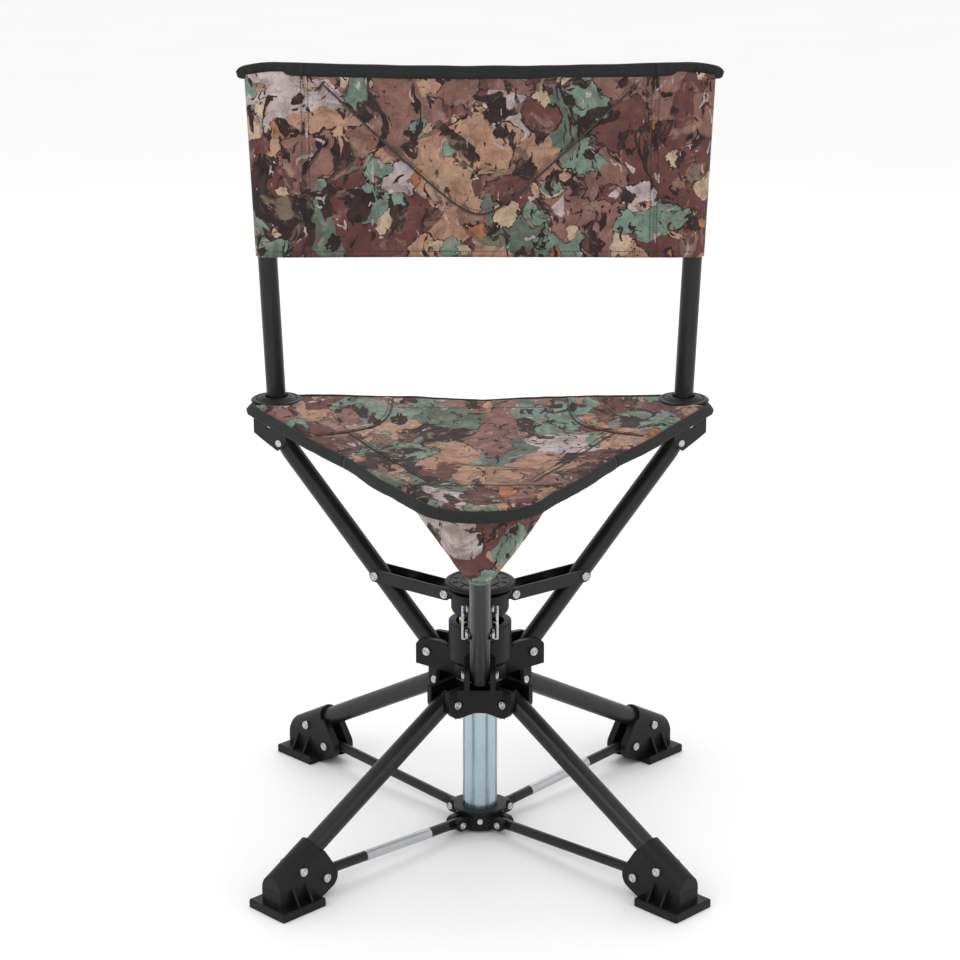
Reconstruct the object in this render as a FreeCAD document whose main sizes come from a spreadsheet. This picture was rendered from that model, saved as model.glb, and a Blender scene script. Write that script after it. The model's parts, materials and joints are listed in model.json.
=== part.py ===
"""Folding swivel chair: four legs under a post, three seat tubes over it, two uprights and a back.

Millimetres, +Z up, origin on the floor at the post's axis, and the sitter faces -Y.
Radial pieces are drawn in a local frame, X outwards along the radius and Z up, and then turned about
the post to their own azimuth.
"""
import FreeCAD, Part
import math
import os

import Sketcher

from FreeCAD import Placement, Rotation, Vector

SIZES = [
    # alias, millimetres or degrees
    ("post_diameter", 39.3), ("post_wall", 1.6), ("post_bottom", 3.0), ("post_top", 244.0),
    ("post_groove_width", 2.6), ("post_groove_depth", 0.7),
    ("tube_diameter", 22.0), ("tube_wall", 1.2), ("tube_tail", 6.0),
    ("strut_diameter", 11.4), ("strut_tab", 4.0), ("strut_tab_reach", 6.5),
    ("label_start", 82.0), ("label_length", 98.0), ("label_wall", 0.3),
    ("pin_clearance", 0.05), ("side_clearance", 0.4),
    ("bolt_radius", 3.0), ("pin_radius", 2.5), ("head_radius", 5.0), ("head_height", 2.2),
    ("leg_pivot_radius", 54.0), ("leg_pivot_height", 168.0), ("leg_slope", 28.8),
    ("foot_bolt_radius", 283.0), ("leg_tip", 8.0),
    ("strut_foot_radius", 250.0), ("strut_foot_height", 24.0),
    ("strut_hub_radius", 38.0), ("strut_hub_height", 13.0),
    ("foot_wall", 4.0), ("plate_inner", 262.0), ("plate_outer", 323.0), ("plate_half_width", 28.8),
    ("plate_height", 9.0), ("plate_chamfer", 1.6), ("gusset_thickness", 2.6), ("gusset_top", 31.0),
    ("nose_radius", 315.0), ("hood_radius", 256.0),
    ("hub_bottom", 150.0), ("hub_top", 185.0), ("hub_core_radius", 29.0), ("ear_thickness", 6.0),
    ("ear_reach", 12.0), ("web_distance", 50.0), ("web_thickness", 4.0), ("web_arch_top", 158.0),
    ("washer_height", 1.0), ("washer_radius", 29.0),
    ("spider_bottom", 3.0), ("spider_top", 26.4), ("spider_radius", 27.0), ("spider_flange", 30.0),
    ("spider_ear_radius", 7.5), ("spider_ear_width", 7.0),
    ("seat_pivot_radius", 59.0), ("seat_pivot_height", 207.0), ("seat_slope", 46.7),
    ("swivel_core_radius", 30.0), ("swivel_ear_end", 74.0), ("swivel_ear_top", 222.0),
    ("cup_radius", 35.3), ("cup_bottom", 208.0), ("cup_top", 250.0), ("cup_bore", 27.0),
    ("cup_floor", 238.0),
    ("link_hub_radius", 38.5), ("link_hub_height", 278.0), ("link_tube_radius", 130.7),
    ("link_tube_height", 283.0), ("link_half_height", 7.5), ("link_wall", 1.5),
    ("cap_radius", 39.4), ("cap_height", 4.0), ("cap_top", 297.6),
    ("collar_radius", 32.5), ("collar_bottom", 265.0), ("collar_shoulder", 284.2),
    ("flange_radius", 36.0), ("flange_top", 288.5), ("groove_radius", 27.0),
    ("plug_clearance", 3.05), ("plug_bottom", 228.0), ("lug_radius", 5.5),
    ("guide_radius", 2.4), ("guide_offset", 23.0), ("guide_bottom", 242.0),
    ("upright_pivot_radius", 268.0), ("upright_pivot_height", 444.0), ("upright_lean", 2.6),
    ("upright_tail", 9.0), ("upright_top", 840.0), ("tube_end_gap", 15.5), ("bend_angle", 18.3),
    ("bend_radius", 60.0), ("bracket_wall", 3.0), ("front_tube_end", 250.0),
    ("seat_bottom", 458.0), ("seat_thickness", 10.0), ("seat_split", 1.0),
    ("seat_rear", 155.0), ("seat_corner_x", 264.0), ("seat_corner_y", 112.0), ("seat_front", 280.0),
    ("grommet_radius", 29.0), ("grommet_clearance", 2.2), ("grommet_height", 4.0),
    ("pocket_mouth_radius", 52.0), ("pocket_tip_radius", 15.0), ("pocket_start", 232.0),
    ("pocket_top", 456.0),
    ("back_bottom", 637.0), ("back_top", 850.0), ("back_sleeve_radius", 14.0), ("back_thickness", 6.0),
    ("back_bore_gap", 0.4),
    ("lever_stand_off", 4.5), ("lever_pivot_height", 219.0), ("lever_top", 258.0),
    ("lever_foot_half", 8.6), ("lever_head_half", 15.5), ("lever_thickness", 6.0),
    ("bail_wire", 1.6), ("bail_half", 19.0), ("bail_height", 243.0), ("bail_top", 281.0),
]

LEG_AZIMUTHS = {"front_left": 225, "front_right": 315, "rear_right": 45, "rear_left": 135}
SEAT_AZIMUTHS = {"front": 270, "right": 30, "left": 150}
REAR_SIDES = ("right", "left")

doc = FreeCAD.newDocument("swivel_chair")
sheet = doc.addObject("Spreadsheet::Sheet", "Sizes")
for row, (alias, value) in enumerate(SIZES, start=1):
    sheet.set("A%d" % row, alias)
    sheet.set("B%d" % row, str(value))
    sheet.setAlias("B%d" % row, alias)
doc.recompute()

NODES = []


def size(alias):
    """A driving dimension, read back from the sheet."""
    return float(sheet.get(alias))


def turn(azimuth):
    """The rotation that carries the local radial frame to an azimuth."""
    return Rotation(Vector(0, 0, 1), azimuth)


def rad(alias):
    return math.radians(size(alias))


def bind(item, prop, rule):
    """Bind a property to the sheet, where rule is an expression in aliases such as <tube_diameter>/2."""
    text = rule.replace("<", "Sizes.").replace(">", "")
    item.setExpression(prop, text)


def place(item, base, azimuth=0, rotation=None):
    spin = turn(azimuth)
    item.Placement = Placement(spin.multVec(Vector(*base)), spin.multiply(rotation or Rotation()))
    return item


def node(item, name, azimuth=None):
    """Make an object a sub-part: its Label names its file, and its Placement turns it into place."""
    item.Label = name
    if azimuth is not None:
        item.Placement = Placement(Vector(), turn(azimuth)).multiply(item.Placement)
    NODES.append(item)
    return item


def cylinder(name, radius, height, base, way=(0, 0, 1), azimuth=0):
    """A cylinder with its radius and height bound to the sheet, from base along a direction."""
    item = doc.addObject("Part::Cylinder", name)
    bind(item, "Radius", radius)
    bind(item, "Height", height)
    return place(item, base, azimuth, Rotation(Vector(0, 0, 1), Vector(*way)))


def cross_pin(name, radius, half, centre, azimuth=0):
    """A cylinder along the local lateral axis, centred on a radial plane; centre is (radius, height)."""
    item = doc.addObject("Part::Cylinder", name)
    bind(item, "Radius", radius)
    bind(item, "Height", "2*(%s)" % half)
    length = item.evalExpression(("2*(%s)" % half).replace("<", "Sizes.").replace(">", ""))
    start = (centre[0], -float(length) / 2, centre[1])
    return place(item, start, azimuth, Rotation(Vector(0, 0, 1), Vector(0, 1, 0)))


def box(name, length, width, height, base, azimuth=0):
    """A box bound to the sheet, centred in the lateral direction, with its low corner at base."""
    item = doc.addObject("Part::Box", name)
    for prop, rule in (("Length", length), ("Width", width), ("Height", height)):
        bind(item, prop, rule)
    half = float(item.evalExpression(width.replace("<", "Sizes.").replace(">", ""))) / 2
    return place(item, (base[0], base[1] - half, base[2]), azimuth)


def fuse(name, parts):
    item = doc.addObject("Part::MultiFuse", name)
    item.Shapes = parts
    item.Refine = True
    return item


def cut(name, base, tools):
    item = doc.addObject("Part::Cut", name)
    item.Base = base
    item.Tool = tools[0] if len(tools) == 1 else fuse(name + "_tools", tools)
    item.Refine = True
    return item


def common(name, base, tool):
    item = doc.addObject("Part::Common", name)
    item.Base, item.Tool = base, tool
    return item


def outline_sketch(name, outline, plane_rotation, base):
    """A closed sketch through points; three points in a tuple after 'arc' make an arc to the last one."""
    sketch = doc.addObject("Sketcher::SketchObject", name)
    sketch.Placement = Placement(Vector(*base), plane_rotation)
    draw(sketch, outline)
    return sketch


def draw(sketch, outline):
    """Lines between points, and ('arc', middle, end) for round stretches."""
    here = outline[0]
    for step in outline[1:] + [outline[0]]:
        if step[0] == "arc":
            through, there = Vector(*step[1], 0), Vector(*step[2], 0)
            sketch.addGeometry(Part.Arc(Vector(*here, 0), through, there), False)
            here = step[2]
        else:
            if math.dist(here, step) > 1e-6:
                sketch.addGeometry(Part.LineSegment(Vector(*here, 0), Vector(*step, 0)), False)
            here = step


UPRIGHT_PLANE = Rotation(Vector(1, 0, 0), 90)


def plate(name, outline, thickness, lateral=0.0, azimuth=0):
    """A flat plate in a radial plane, outline in (radius, height), starting at a lateral offset."""
    sketch = outline_sketch(name + "_outline", outline, UPRIGHT_PLANE, (0, 0, 0))
    item = doc.addObject("Part::Extrusion", name)
    item.Base = sketch
    item.DirMode = "Custom"
    item.Dir = Vector(0, 1, 0)
    item.Solid = True
    bind(item, "LengthFwd", thickness)
    return place(item, (0, lateral, 0), azimuth)


def slab(name, outline, thickness, bottom):
    """A level plate, outline in (x, y)."""
    sketch = outline_sketch(name + "_outline", outline, Rotation(), (0, 0, 0))
    item = doc.addObject("Part::Extrusion", name)
    item.Base = sketch
    item.DirMode = "Custom"
    item.Dir = Vector(0, 0, 1)
    item.Solid = True
    bind(item, "LengthFwd", thickness)
    return place(item, (0, 0, bottom))


def body_sketch(body, name, role, offset=0.0):
    plane = [p for p in body.Origin.OriginFeatures if p.Role == role][0]
    sketch = body.newObject("Sketcher::SketchObject", name)
    sketch.AttachmentSupport = (plane, [""])
    sketch.MapMode = "FlatFace"
    sketch.AttachmentOffset = Placement(Vector(0, 0, offset), Rotation())
    return sketch


def sketch_circle(sketch, rule):
    """A circle about the sketch's origin whose radius is bound to the sheet."""
    index = sketch.addGeometry(Part.Circle(Vector(), Vector(0, 0, 1), 10.0), False)
    sketch.addConstraint(Sketcher.Constraint("Coincident", index, 3, -1, 1))
    fixed = sketch.addConstraint(Sketcher.Constraint("Radius", index, 10.0))
    bind(sketch, "Constraints[%d]" % fixed, rule)


def ring_body(name, outer, inner, height, bottom):
    """A PartDesign body with one padded ring."""
    body = doc.addObject("PartDesign::Body", name)
    sketch = body_sketch(body, name + "_ring", "XY_Plane")
    sketch_circle(sketch, outer)
    sketch_circle(sketch, inner)
    pad = body.newObject("PartDesign::Pad", name + "_pad")
    pad.Profile = sketch
    bind(pad, "Length", height)
    body.Placement = Placement(Vector(0, 0, bottom), Rotation())
    return body


def revolved_body(name, outline):
    """A PartDesign body turned about Z from an outline in (radius, height)."""
    body = doc.addObject("PartDesign::Body", name)
    sketch = body_sketch(body, name + "_section", "XZ_Plane")
    draw(sketch, outline)
    turned = body.newObject("PartDesign::Revolution", name + "_turned")
    turned.Profile = sketch
    turned.ReferenceAxis = (sketch, ["V_Axis"])
    turned.Angle = 360.0
    return body


# ---- places worked out from the driving sizes ----

tube_r = size("tube_diameter") / 2
gap_half = tube_r + size("side_clearance")
ear_outer = gap_half + size("ear_thickness")
leg_pivot = (size("leg_pivot_radius"), size("leg_pivot_height"))
leg_dir = (math.cos(rad("leg_slope")), -math.sin(rad("leg_slope")))
leg_run = (size("foot_bolt_radius") - leg_pivot[0]) / leg_dir[0]
lever_distance = size("cup_radius") + size("lever_stand_off")
foot_bolt = (size("foot_bolt_radius"), leg_pivot[1] + leg_run * leg_dir[1])
strut_foot = (size("strut_foot_radius"), size("strut_foot_height"))
strut_hub = (size("strut_hub_radius"), size("strut_hub_height"))
seat_pivot = (size("seat_pivot_radius"), size("seat_pivot_height"))
seat_dir = (math.cos(rad("seat_slope")), math.sin(rad("seat_slope")))
link_hub = (size("link_hub_radius"), size("link_hub_height"))
link_tube = (size("link_tube_radius"), size("link_tube_height"))
upright_pivot = (size("upright_pivot_radius"), size("upright_pivot_height"))
upright_dir = (math.sin(rad("upright_lean")), math.cos(rad("upright_lean")))


def along(start, direction, distance):
    return (start[0] + direction[0] * distance, start[1] + direction[1] * distance)


def at(point):
    """A (radius, height) pair as a point of the radial plane."""
    return (point[0], 0.0, point[1])


def leg_line(radius):
    return leg_pivot[1] + (radius - leg_pivot[0]) * leg_dir[1] / leg_dir[0]


def tube(name, start, direction, length_mm, holes, azimuth):
    """A straight round tube in a radial plane with cross holes."""
    vec = (direction[0], 0, direction[1])
    outer = doc.addObject("Part::Cylinder", name + "_outside")
    inner = doc.addObject("Part::Cylinder", name + "_inside")
    bind(outer, "Radius", "<tube_diameter>/2")
    bind(inner, "Radius", "<tube_diameter>/2-<tube_wall>")
    for item in (outer, inner):
        item.Height = length_mm
        place(item, at(start), 0, Rotation(Vector(0, 0, 1), Vector(*vec)))
    drills = [cross_pin(name + "_hole", rule, "<tube_diameter>", point) for point, rule in holes]
    return node(cut(name + "_made", outer, [inner] + drills), name, azimuth)


# ---- base: post, leg hub and washer ----


def make_post():
    body = ring_body("post_body", "<post_diameter>/2", "<post_diameter>/2-<post_wall>",
                     "<post_top>-<post_bottom>", size("post_bottom"))
    pad = body.Tip
    sketch = body_sketch(body, "post_groove", "XY_Plane")
    half, deep = size("post_groove_width") / 2, size("post_groove_depth")
    edge = size("post_diameter") / 2
    draw(sketch, [(edge - deep, -half), (edge + deep, -half), (edge + deep, half), (edge - deep, half)])
    groove = body.newObject("PartDesign::Pocket", "post_groove_cut")
    groove.Profile = sketch
    groove.Type = "ThroughAll"
    groove.Reversed = True
    doc.recompute()
    around = body.newObject("PartDesign::PolarPattern", "post_grooves")
    around.Originals = [groove]
    around.Axis = ([p for p in body.Origin.OriginFeatures if p.Role == "Z_Axis"][0], [""])
    around.Angle = 360
    around.Occurrences = 8
    body.Tip = around
    doc.recompute()
    if body.Shape.Volume > pad.Shape.Volume - 1:
        raise ValueError("the post's grooves cut nothing")
    node(body, "post")
    body.Placement = Placement(Vector(0, 0, size("post_bottom")), turn(22.5))


def ear_pair(name, outline, azimuth, inner):
    """Two parallel plates either side of a radial plane."""
    return [
        plate(name, outline, "<ear_thickness>", lateral, azimuth)
        for lateral in (-inner - size("ear_thickness"), inner)
    ]


def make_leg_hub():
    low, top = size("hub_bottom"), size("hub_top")
    end = leg_pivot[0] + size("ear_reach")
    ear = [(16, low), (end - 17, low), ("arc", (end - 6, low + 5), (end, low + 16)), (end, top), (16, top)]
    parts = [cylinder("leg_hub_core", "<hub_core_radius>", "<hub_top>-<hub_bottom>", (0, 0, low))]
    holes = [cylinder("leg_hub_bore", "<post_diameter>/2", "<hub_top>", (0, 0, 1))]
    web_half = 28.0
    arch = size("web_arch_top")
    distance, thick = size("web_distance"), size("web_thickness")
    for azimuth in LEG_AZIMUTHS.values():
        parts += ear_pair("leg_hub_ear", ear, azimuth, gap_half)
        web = [(-web_half, top), (-web_half, low), ("arc", (0, arch), (web_half, low)), (web_half, top)]
        sketch = outline_sketch("leg_hub_web_outline", web, UPRIGHT_PLANE, (0, 0, 0))
        wall = doc.addObject("Part::Extrusion", "leg_hub_web")
        wall.Base, wall.DirMode, wall.Dir, wall.Solid = sketch, "Custom", Vector(0, -1, 0), True
        bind(wall, "LengthFwd", "<web_thickness>")
        spin = turn(azimuth - 225)
        wall.Placement = Placement(spin.multVec(Vector(0, thick - distance, 0)), spin)
        parts.append(wall)
        holes.append(box("leg_hub_slot", "<ear_reach>*6", "<tube_diameter>+2*<side_clearance>",
                         "<hub_top>", (size("hub_core_radius") + 1, 0, 1), azimuth))
        holes.append(cross_pin("leg_hub_hole", "<bolt_radius>", "<tube_diameter>", leg_pivot, azimuth))
        holes += heads("leg_hub_spotface", leg_pivot, ear_outer, azimuth,
                       "<head_radius>+<side_clearance>", "2*<head_height>")
    node(cut("leg_hub_made", fuse("leg_hub_solid", parts), holes), "leg_hub")


def rivets(name, centre, azimuths, inner, outer):
    """Short rivets through each ear of a clevis, which stop short of the tube between the ears."""
    parts = []
    for azimuth in azimuths:
        for side in (-1, 1):
            spin = turn(azimuth)
            towards = spin.multVec(Vector(0, side, 0))
            start = spin.multVec(Vector(centre[0], side * inner, centre[1]))
            end = spin.multVec(Vector(centre[0], side * outer, centre[1]))
            parts.append(cylinder(name + "_shank", "<bolt_radius>", "<ear_thickness>", start, towards))
            parts.append(cylinder(name + "_head", "<head_radius>", "<head_height>", end, towards))
    node(fuse(name + "_made", parts), name)


def make_base():
    make_post()
    make_leg_hub()
    rivets("leg_hub_rivets", leg_pivot, LEG_AZIMUTHS.values(), gap_half, ear_outer)
    node(ring_body("thrust_washer_body", "<washer_radius>", "<post_diameter>/2", "<washer_height>",
                   size("hub_top")), "thrust_washer")


# ---- spider and its pins ----


def make_spider():
    tab_gap = "<strut_tab>+2*<side_clearance>"
    low, top = size("spider_bottom"), size("spider_top")
    parts = [cylinder("spider_ring", "<spider_radius>", "<spider_top>-<spider_bottom>", (0, 0, low)),
             cylinder("spider_rim", "<spider_flange>", "<head_height>*1.5",
                      (0, 0, top - 1.5 * size("head_height")))]
    holes = [cylinder("spider_bore", "<post_diameter>/2+<pin_clearance>", "<hub_top>", (0, 0, 0))]
    width = "<strut_tab>+2*<side_clearance>+2*<spider_ear_width>"
    reach = size("spider_ear_radius")
    for azimuth in LEG_AZIMUTHS.values():
        parts.append(cross_pin("spider_lobe", "<spider_ear_radius>",
                               "<strut_tab>/2+<side_clearance>+<spider_ear_width>", strut_hub, azimuth))
        parts.append(box("spider_arm", "<strut_hub_radius>-20", width, "2*<spider_ear_radius>",
                         (20, 0, strut_hub[1] - reach), azimuth))
        holes.append(box("spider_slot", "<ear_reach>*3", tab_gap, "<spider_top>",
                         (strut_hub[0] - reach - 0.6, 0, low - 1), azimuth))
        holes.append(cross_pin("spider_hole", "<pin_radius>", "<tube_diameter>", strut_hub, azimuth))
    made = cut("spider_made", fuse("spider_solid", parts), holes)
    node(made, "spider")
    half = size("strut_tab") / 2 + size("side_clearance") + size("spider_ear_width")
    pins = []
    for azimuth in LEG_AZIMUTHS.values():
        pins.append(cross_pin("spider_pin", "<pin_radius>",
                              "<strut_tab>/2+<side_clearance>+<spider_ear_width>", strut_hub, azimuth))
        pins += heads("spider_pin_head", strut_hub, half, azimuth, "<head_radius>-0.8", "<head_height>-0.6")
    node(fuse("spider_pins_made", pins), "spider_pins")
    button = cylinder("lock_button_made", "<bolt_radius>", "<head_height>",
                      (0, -size("spider_radius"), 15.0), (0, -1, 0))
    seat = cylinder("lock_button_seat", "<spider_radius>", "<spider_top>", (0, 0, 0))
    node(cut("lock_button_cut", button, [seat]), "lock_button")


def heads(name, centre, half, azimuth, radius="<head_radius>", height="<head_height>"):
    """Two bolt heads, one on each side, whose inner faces are half away from the radial plane."""
    out = []
    for side in (-1, 1):
        spin = turn(azimuth)
        start = spin.multVec(Vector(centre[0], side * half, centre[1]))
        out.append(cylinder(name, radius, height, start, spin.multVec(Vector(0, side, 0))))
    return out


# ---- legs: strut, leg tube, foot and foot bolts ----


def make_strut(place_name, azimuth):
    run = (strut_foot[0] - strut_hub[0], strut_foot[1] - strut_hub[1])
    length = math.hypot(*run)
    way = (run[0] / length, run[1] / length)
    tab = size("strut_tab_reach")
    rod_start = 2 * tab + 3
    rod_r = size("strut_diameter") / 2
    rod = doc.addObject("Part::Cylinder", "strut_rod")
    bind(rod, "Radius", "<strut_diameter>/2")
    rod.Height = length - rod_start
    place(rod, at(along(strut_hub, way, rod_start)), 0,
          Rotation(Vector(0, 0, 1), Vector(way[0], 0, way[1])))
    foot_end = cross_pin("strut_foot_end", "<strut_diameter>/2+<label_wall>",
                         "<strut_diameter>/2-<label_wall>", strut_foot)
    side = (-way[1], way[0])
    neck = along(strut_hub, way, rod_start + 4)
    inner = along(strut_hub, way, tab + 2)
    tab_plate = plate("strut_tab", [
        along(strut_hub, side, -tab), along(neck, side, -rod_r + 0.8), along(neck, side, rod_r - 0.8),
        along(strut_hub, side, tab), ("arc", along(strut_hub, way, -tab), along(strut_hub, side, -tab))],
        "<strut_tab>", -size("strut_tab") / 2)
    shoulder = doc.addObject("Part::Cone", "strut_shoulder")
    bind(shoulder, "Radius2", "<strut_diameter>/2")
    bind(shoulder, "Radius1", "<strut_tab>/2")
    shoulder.Height = rod_start - math.dist(inner, strut_hub)
    place(shoulder, at(inner), 0, Rotation(Vector(0, 0, 1), Vector(way[0], 0, way[1])))
    solid = fuse("strut_solid", [rod, foot_end, tab_plate, shoulder])
    drills = [cross_pin("strut_hub_hole", "<pin_radius>+<pin_clearance>", "<tube_diameter>", strut_hub),
              cross_pin("strut_foot_hole", "<pin_radius>+<pin_clearance>", "<tube_diameter>", strut_foot)]
    node(cut("strut_made", solid, drills), "strut_" + place_name, azimuth)
    if place_name in ("front_left", "rear_right"):
        start = at(along(strut_hub, way, size("label_start") - strut_hub[0]))
        turned = (way[0], 0, way[1])
        outside = cylinder("label_outside", "<strut_diameter>/2+<label_wall>", "<label_length>",
                           start, turned)
        inside = cylinder("label_inside", "<strut_diameter>/2", "<label_length>", start, turned)
        node(cut("label_made", outside, [inside]), "strut_band_" + place_name, azimuth)


def make_leg(place_name, azimuth):
    start = along(leg_pivot, leg_dir, -size("tube_tail"))
    length = size("tube_tail") + leg_run + size("leg_tip")
    tube("leg_tube_" + place_name, start, leg_dir, length, [(foot_bolt, "<bolt_radius>")], azimuth)
    make_foot(place_name, azimuth, along(start, leg_dir, length))
    half = tube_r + size("foot_wall")
    bolts = [cross_pin("foot_bolt", "<bolt_radius>", "<tube_diameter>/2+<foot_wall>", foot_bolt),
             cross_pin("strut_bolt", "<pin_radius>", "<tube_diameter>/2+<foot_wall>", strut_foot)]
    bolts += heads("foot_bolt_head", foot_bolt, half, 0) + heads("strut_bolt_head", strut_foot, half, 0)
    node(fuse("foot_bolts_made", bolts), "foot_bolts_" + place_name, azimuth)


def make_foot(place_name, azimuth, tube_end):
    half = tube_r + size("foot_wall")
    nose, hood = size("nose_radius"), size("hood_radius")
    back_x, back_z = strut_foot
    cheek = [
        (hood, leg_line(hood)), (nose, leg_line(nose)), (nose, 1.0), (nose - 55, 1.0),
        (back_x - 11, back_z - 13), ("arc", (back_x - 17, back_z - 2), (back_x - 14, back_z + 9)),
        (hood - 5, leg_line(hood) - 1)]
    block = plate("foot_block", cheek, "<tube_diameter>+2*<foot_wall>", -half)
    vec = (leg_dir[0], 0, leg_dir[1])
    hood_start = along(leg_pivot, leg_dir, (hood - leg_pivot[0]) / leg_dir[0])
    ridge = cylinder("foot_hood", "<tube_diameter>/2+<foot_wall>", "<plate_outer>-<hood_radius>",
                     at(hood_start), vec)
    ridge_limit = box("foot_hood_limit", "<nose_radius>", "<plate_outer>", "<hub_top>", (0, 0, 1))
    low, inner, outer = 0.0, size("plate_inner"), size("plate_outer")
    sole = box("foot_sole", "<plate_outer>-<plate_inner>", "2*<plate_half_width>", "<plate_height>",
               (inner, 0, low))
    doc.recompute()
    eased = doc.addObject("Part::Chamfer", "foot_plate")
    eased.Base = sole
    ease = size("plate_chamfer")
    eased.Edges = [(i + 1, ease, ease) for i, edge in enumerate(sole.Shape.Edges)
                   if edge.BoundBox.ZMin > size("plate_height") - 0.01 or edge.BoundBox.ZLength > 1]
    parts = [block, common("foot_ridge", ridge, ridge_limit), eased]
    wide, thick, top = size("plate_half_width") - 2.0, size("gusset_thickness"), size("gusset_top")
    level = size("plate_height") - 1
    for radius in (inner + 17.0, inner + 36.0):
        sketch = outline_sketch(
            "gusset_outline", [(-wide, level), (wide, level), (half - 1, top), (1 - half, top)],
            Rotation(Vector(1, 0, 0), 90), (0, 0, 0))
        rib = doc.addObject("Part::Extrusion", "foot_gusset")
        rib.Base, rib.DirMode, rib.Dir, rib.Solid = sketch, "Custom", Vector(0, -1, 0), True
        bind(rib, "LengthFwd", "<gusset_thickness>")
        rib.Placement = Placement(Vector(radius - thick / 2, 0, 0), Rotation(Vector(0, 0, 1), 90))
        parts.append(rib)
    inside = doc.addObject("Part::Cylinder", "foot_bore")
    bind(inside, "Radius", "<tube_diameter>/2")
    inside.Height = math.dist(tube_end, along(hood_start, leg_dir, -30))
    place(inside, at(along(hood_start, leg_dir, -30)), 0, Rotation(Vector(0, 0, 1), Vector(*vec)))
    slot = box("foot_slot", "<ear_reach>*3.5", "<strut_diameter>+2*<side_clearance>", "<hub_top>/2",
               (strut_foot[0] + size("strut_diameter") / 2 + 0.8 - 3.5 * size("ear_reach"), 0, -5))
    drills = [cross_pin("foot_bolt_hole", "<bolt_radius>", "<tube_diameter>", foot_bolt),
              cross_pin("foot_strut_hole", "<pin_radius>", "<tube_diameter>", strut_foot)]
    node(cut("foot_made", fuse("foot_solid", parts), [inside, slot] + drills), "foot_" + place_name, azimuth)


# ---- swivel hub, seat tubes and links ----


def make_swivel_hub():
    low = size("hub_top") + size("washer_height")
    end, top = size("swivel_ear_end"), size("swivel_ear_top")
    ear = [(14, low + 0.3), (30, low + 0.3), (end, low + 4), (end, top - 9),
           ("arc", (end - 5, top - 3), (end - 14, top - 0.5)), (44, top),
           ("arc", (34, top - 3), (26, top - 12)),
           (14, top - 15)]
    parts = [cylinder("swivel_core", "<swivel_core_radius>", "<cup_bottom>-<hub_top>", (0, 0, low)),
             cylinder("swivel_cup", "<cup_radius>", "<cup_top>-<cup_bottom>", (0, 0, size("cup_bottom")))]
    neck = doc.addObject("Part::Cone", "swivel_neck")
    bind(neck, "Radius1", "<swivel_core_radius>-1")
    bind(neck, "Radius2", "<cup_radius>")
    bind(neck, "Height", "<head_height>*3")
    place(neck, (0, 0, size("cup_bottom") - 3 * size("head_height")))
    holes = [cylinder("swivel_bore", "<post_diameter>/2+<pin_clearance>", "<cup_top>", (0, 0, 100)),
             cylinder("swivel_mouth", "<cup_bore>", "<cup_top>", (0, 0, size("cup_floor")))]
    for azimuth in SEAT_AZIMUTHS.values():
        parts += ear_pair("swivel_ear", ear, azimuth, gap_half)
        holes.append(box("swivel_slot", "<ear_reach>*6", "<tube_diameter>+2*<side_clearance>",
                         "<cup_bottom>-<hub_top>-2", (size("swivel_core_radius") + 3, 0, low - 1), azimuth))
        holes.append(cross_pin("swivel_hole", "<bolt_radius>", "<tube_diameter>", seat_pivot, azimuth))
    holes.append(lever_pin("swivel_lever_hole"))
    solid = cut("swivel_solid", fuse("swivel_all", parts + [neck]), holes)
    lugs = [lever_lug(side) for side in (-1, 1)]
    node(fuse("swivel_hub_made", [solid] + lugs), "swivel_hub")
    rivets("swivel_hub_rivets", seat_pivot, SEAT_AZIMUTHS.values(), gap_half, ear_outer)


def lever_pin(name):
    """The pin of the lever's hinge, from one lug's outer face to the other's."""
    half = size("lever_foot_half") + size("side_clearance") + size("bolt_radius")
    return cylinder(name, "<bail_wire>", "2*(<lever_foot_half>+<side_clearance>+<bolt_radius>)",
                    (-half, -lever_distance, size("lever_pivot_height")), (1, 0, 0))


def lever_lug(side):
    """One lug of the lever's hinge, on the front of the cup."""
    lug = doc.addObject("Part::Box", "lever_lug")
    bind(lug, "Length", "<bolt_radius>")
    bind(lug, "Width", "<lever_stand_off>+<bolt_radius>+3")
    bind(lug, "Height", "2*<bolt_radius>")
    start = size("lever_foot_half") + size("side_clearance")
    x = start if side > 0 else -start - size("bolt_radius")
    front = lever_distance + size("bolt_radius")
    low = size("lever_pivot_height") - size("bolt_radius")
    place(lug, (x, -front, low))
    hole = cylinder("lever_lug_hole", "<bail_wire>", "<tube_diameter>*2",
                    (-size("tube_diameter"), -lever_distance, size("lever_pivot_height")),
                    (1, 0, 0))
    return cut("lever_lug_drilled", lug, [hole])


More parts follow.
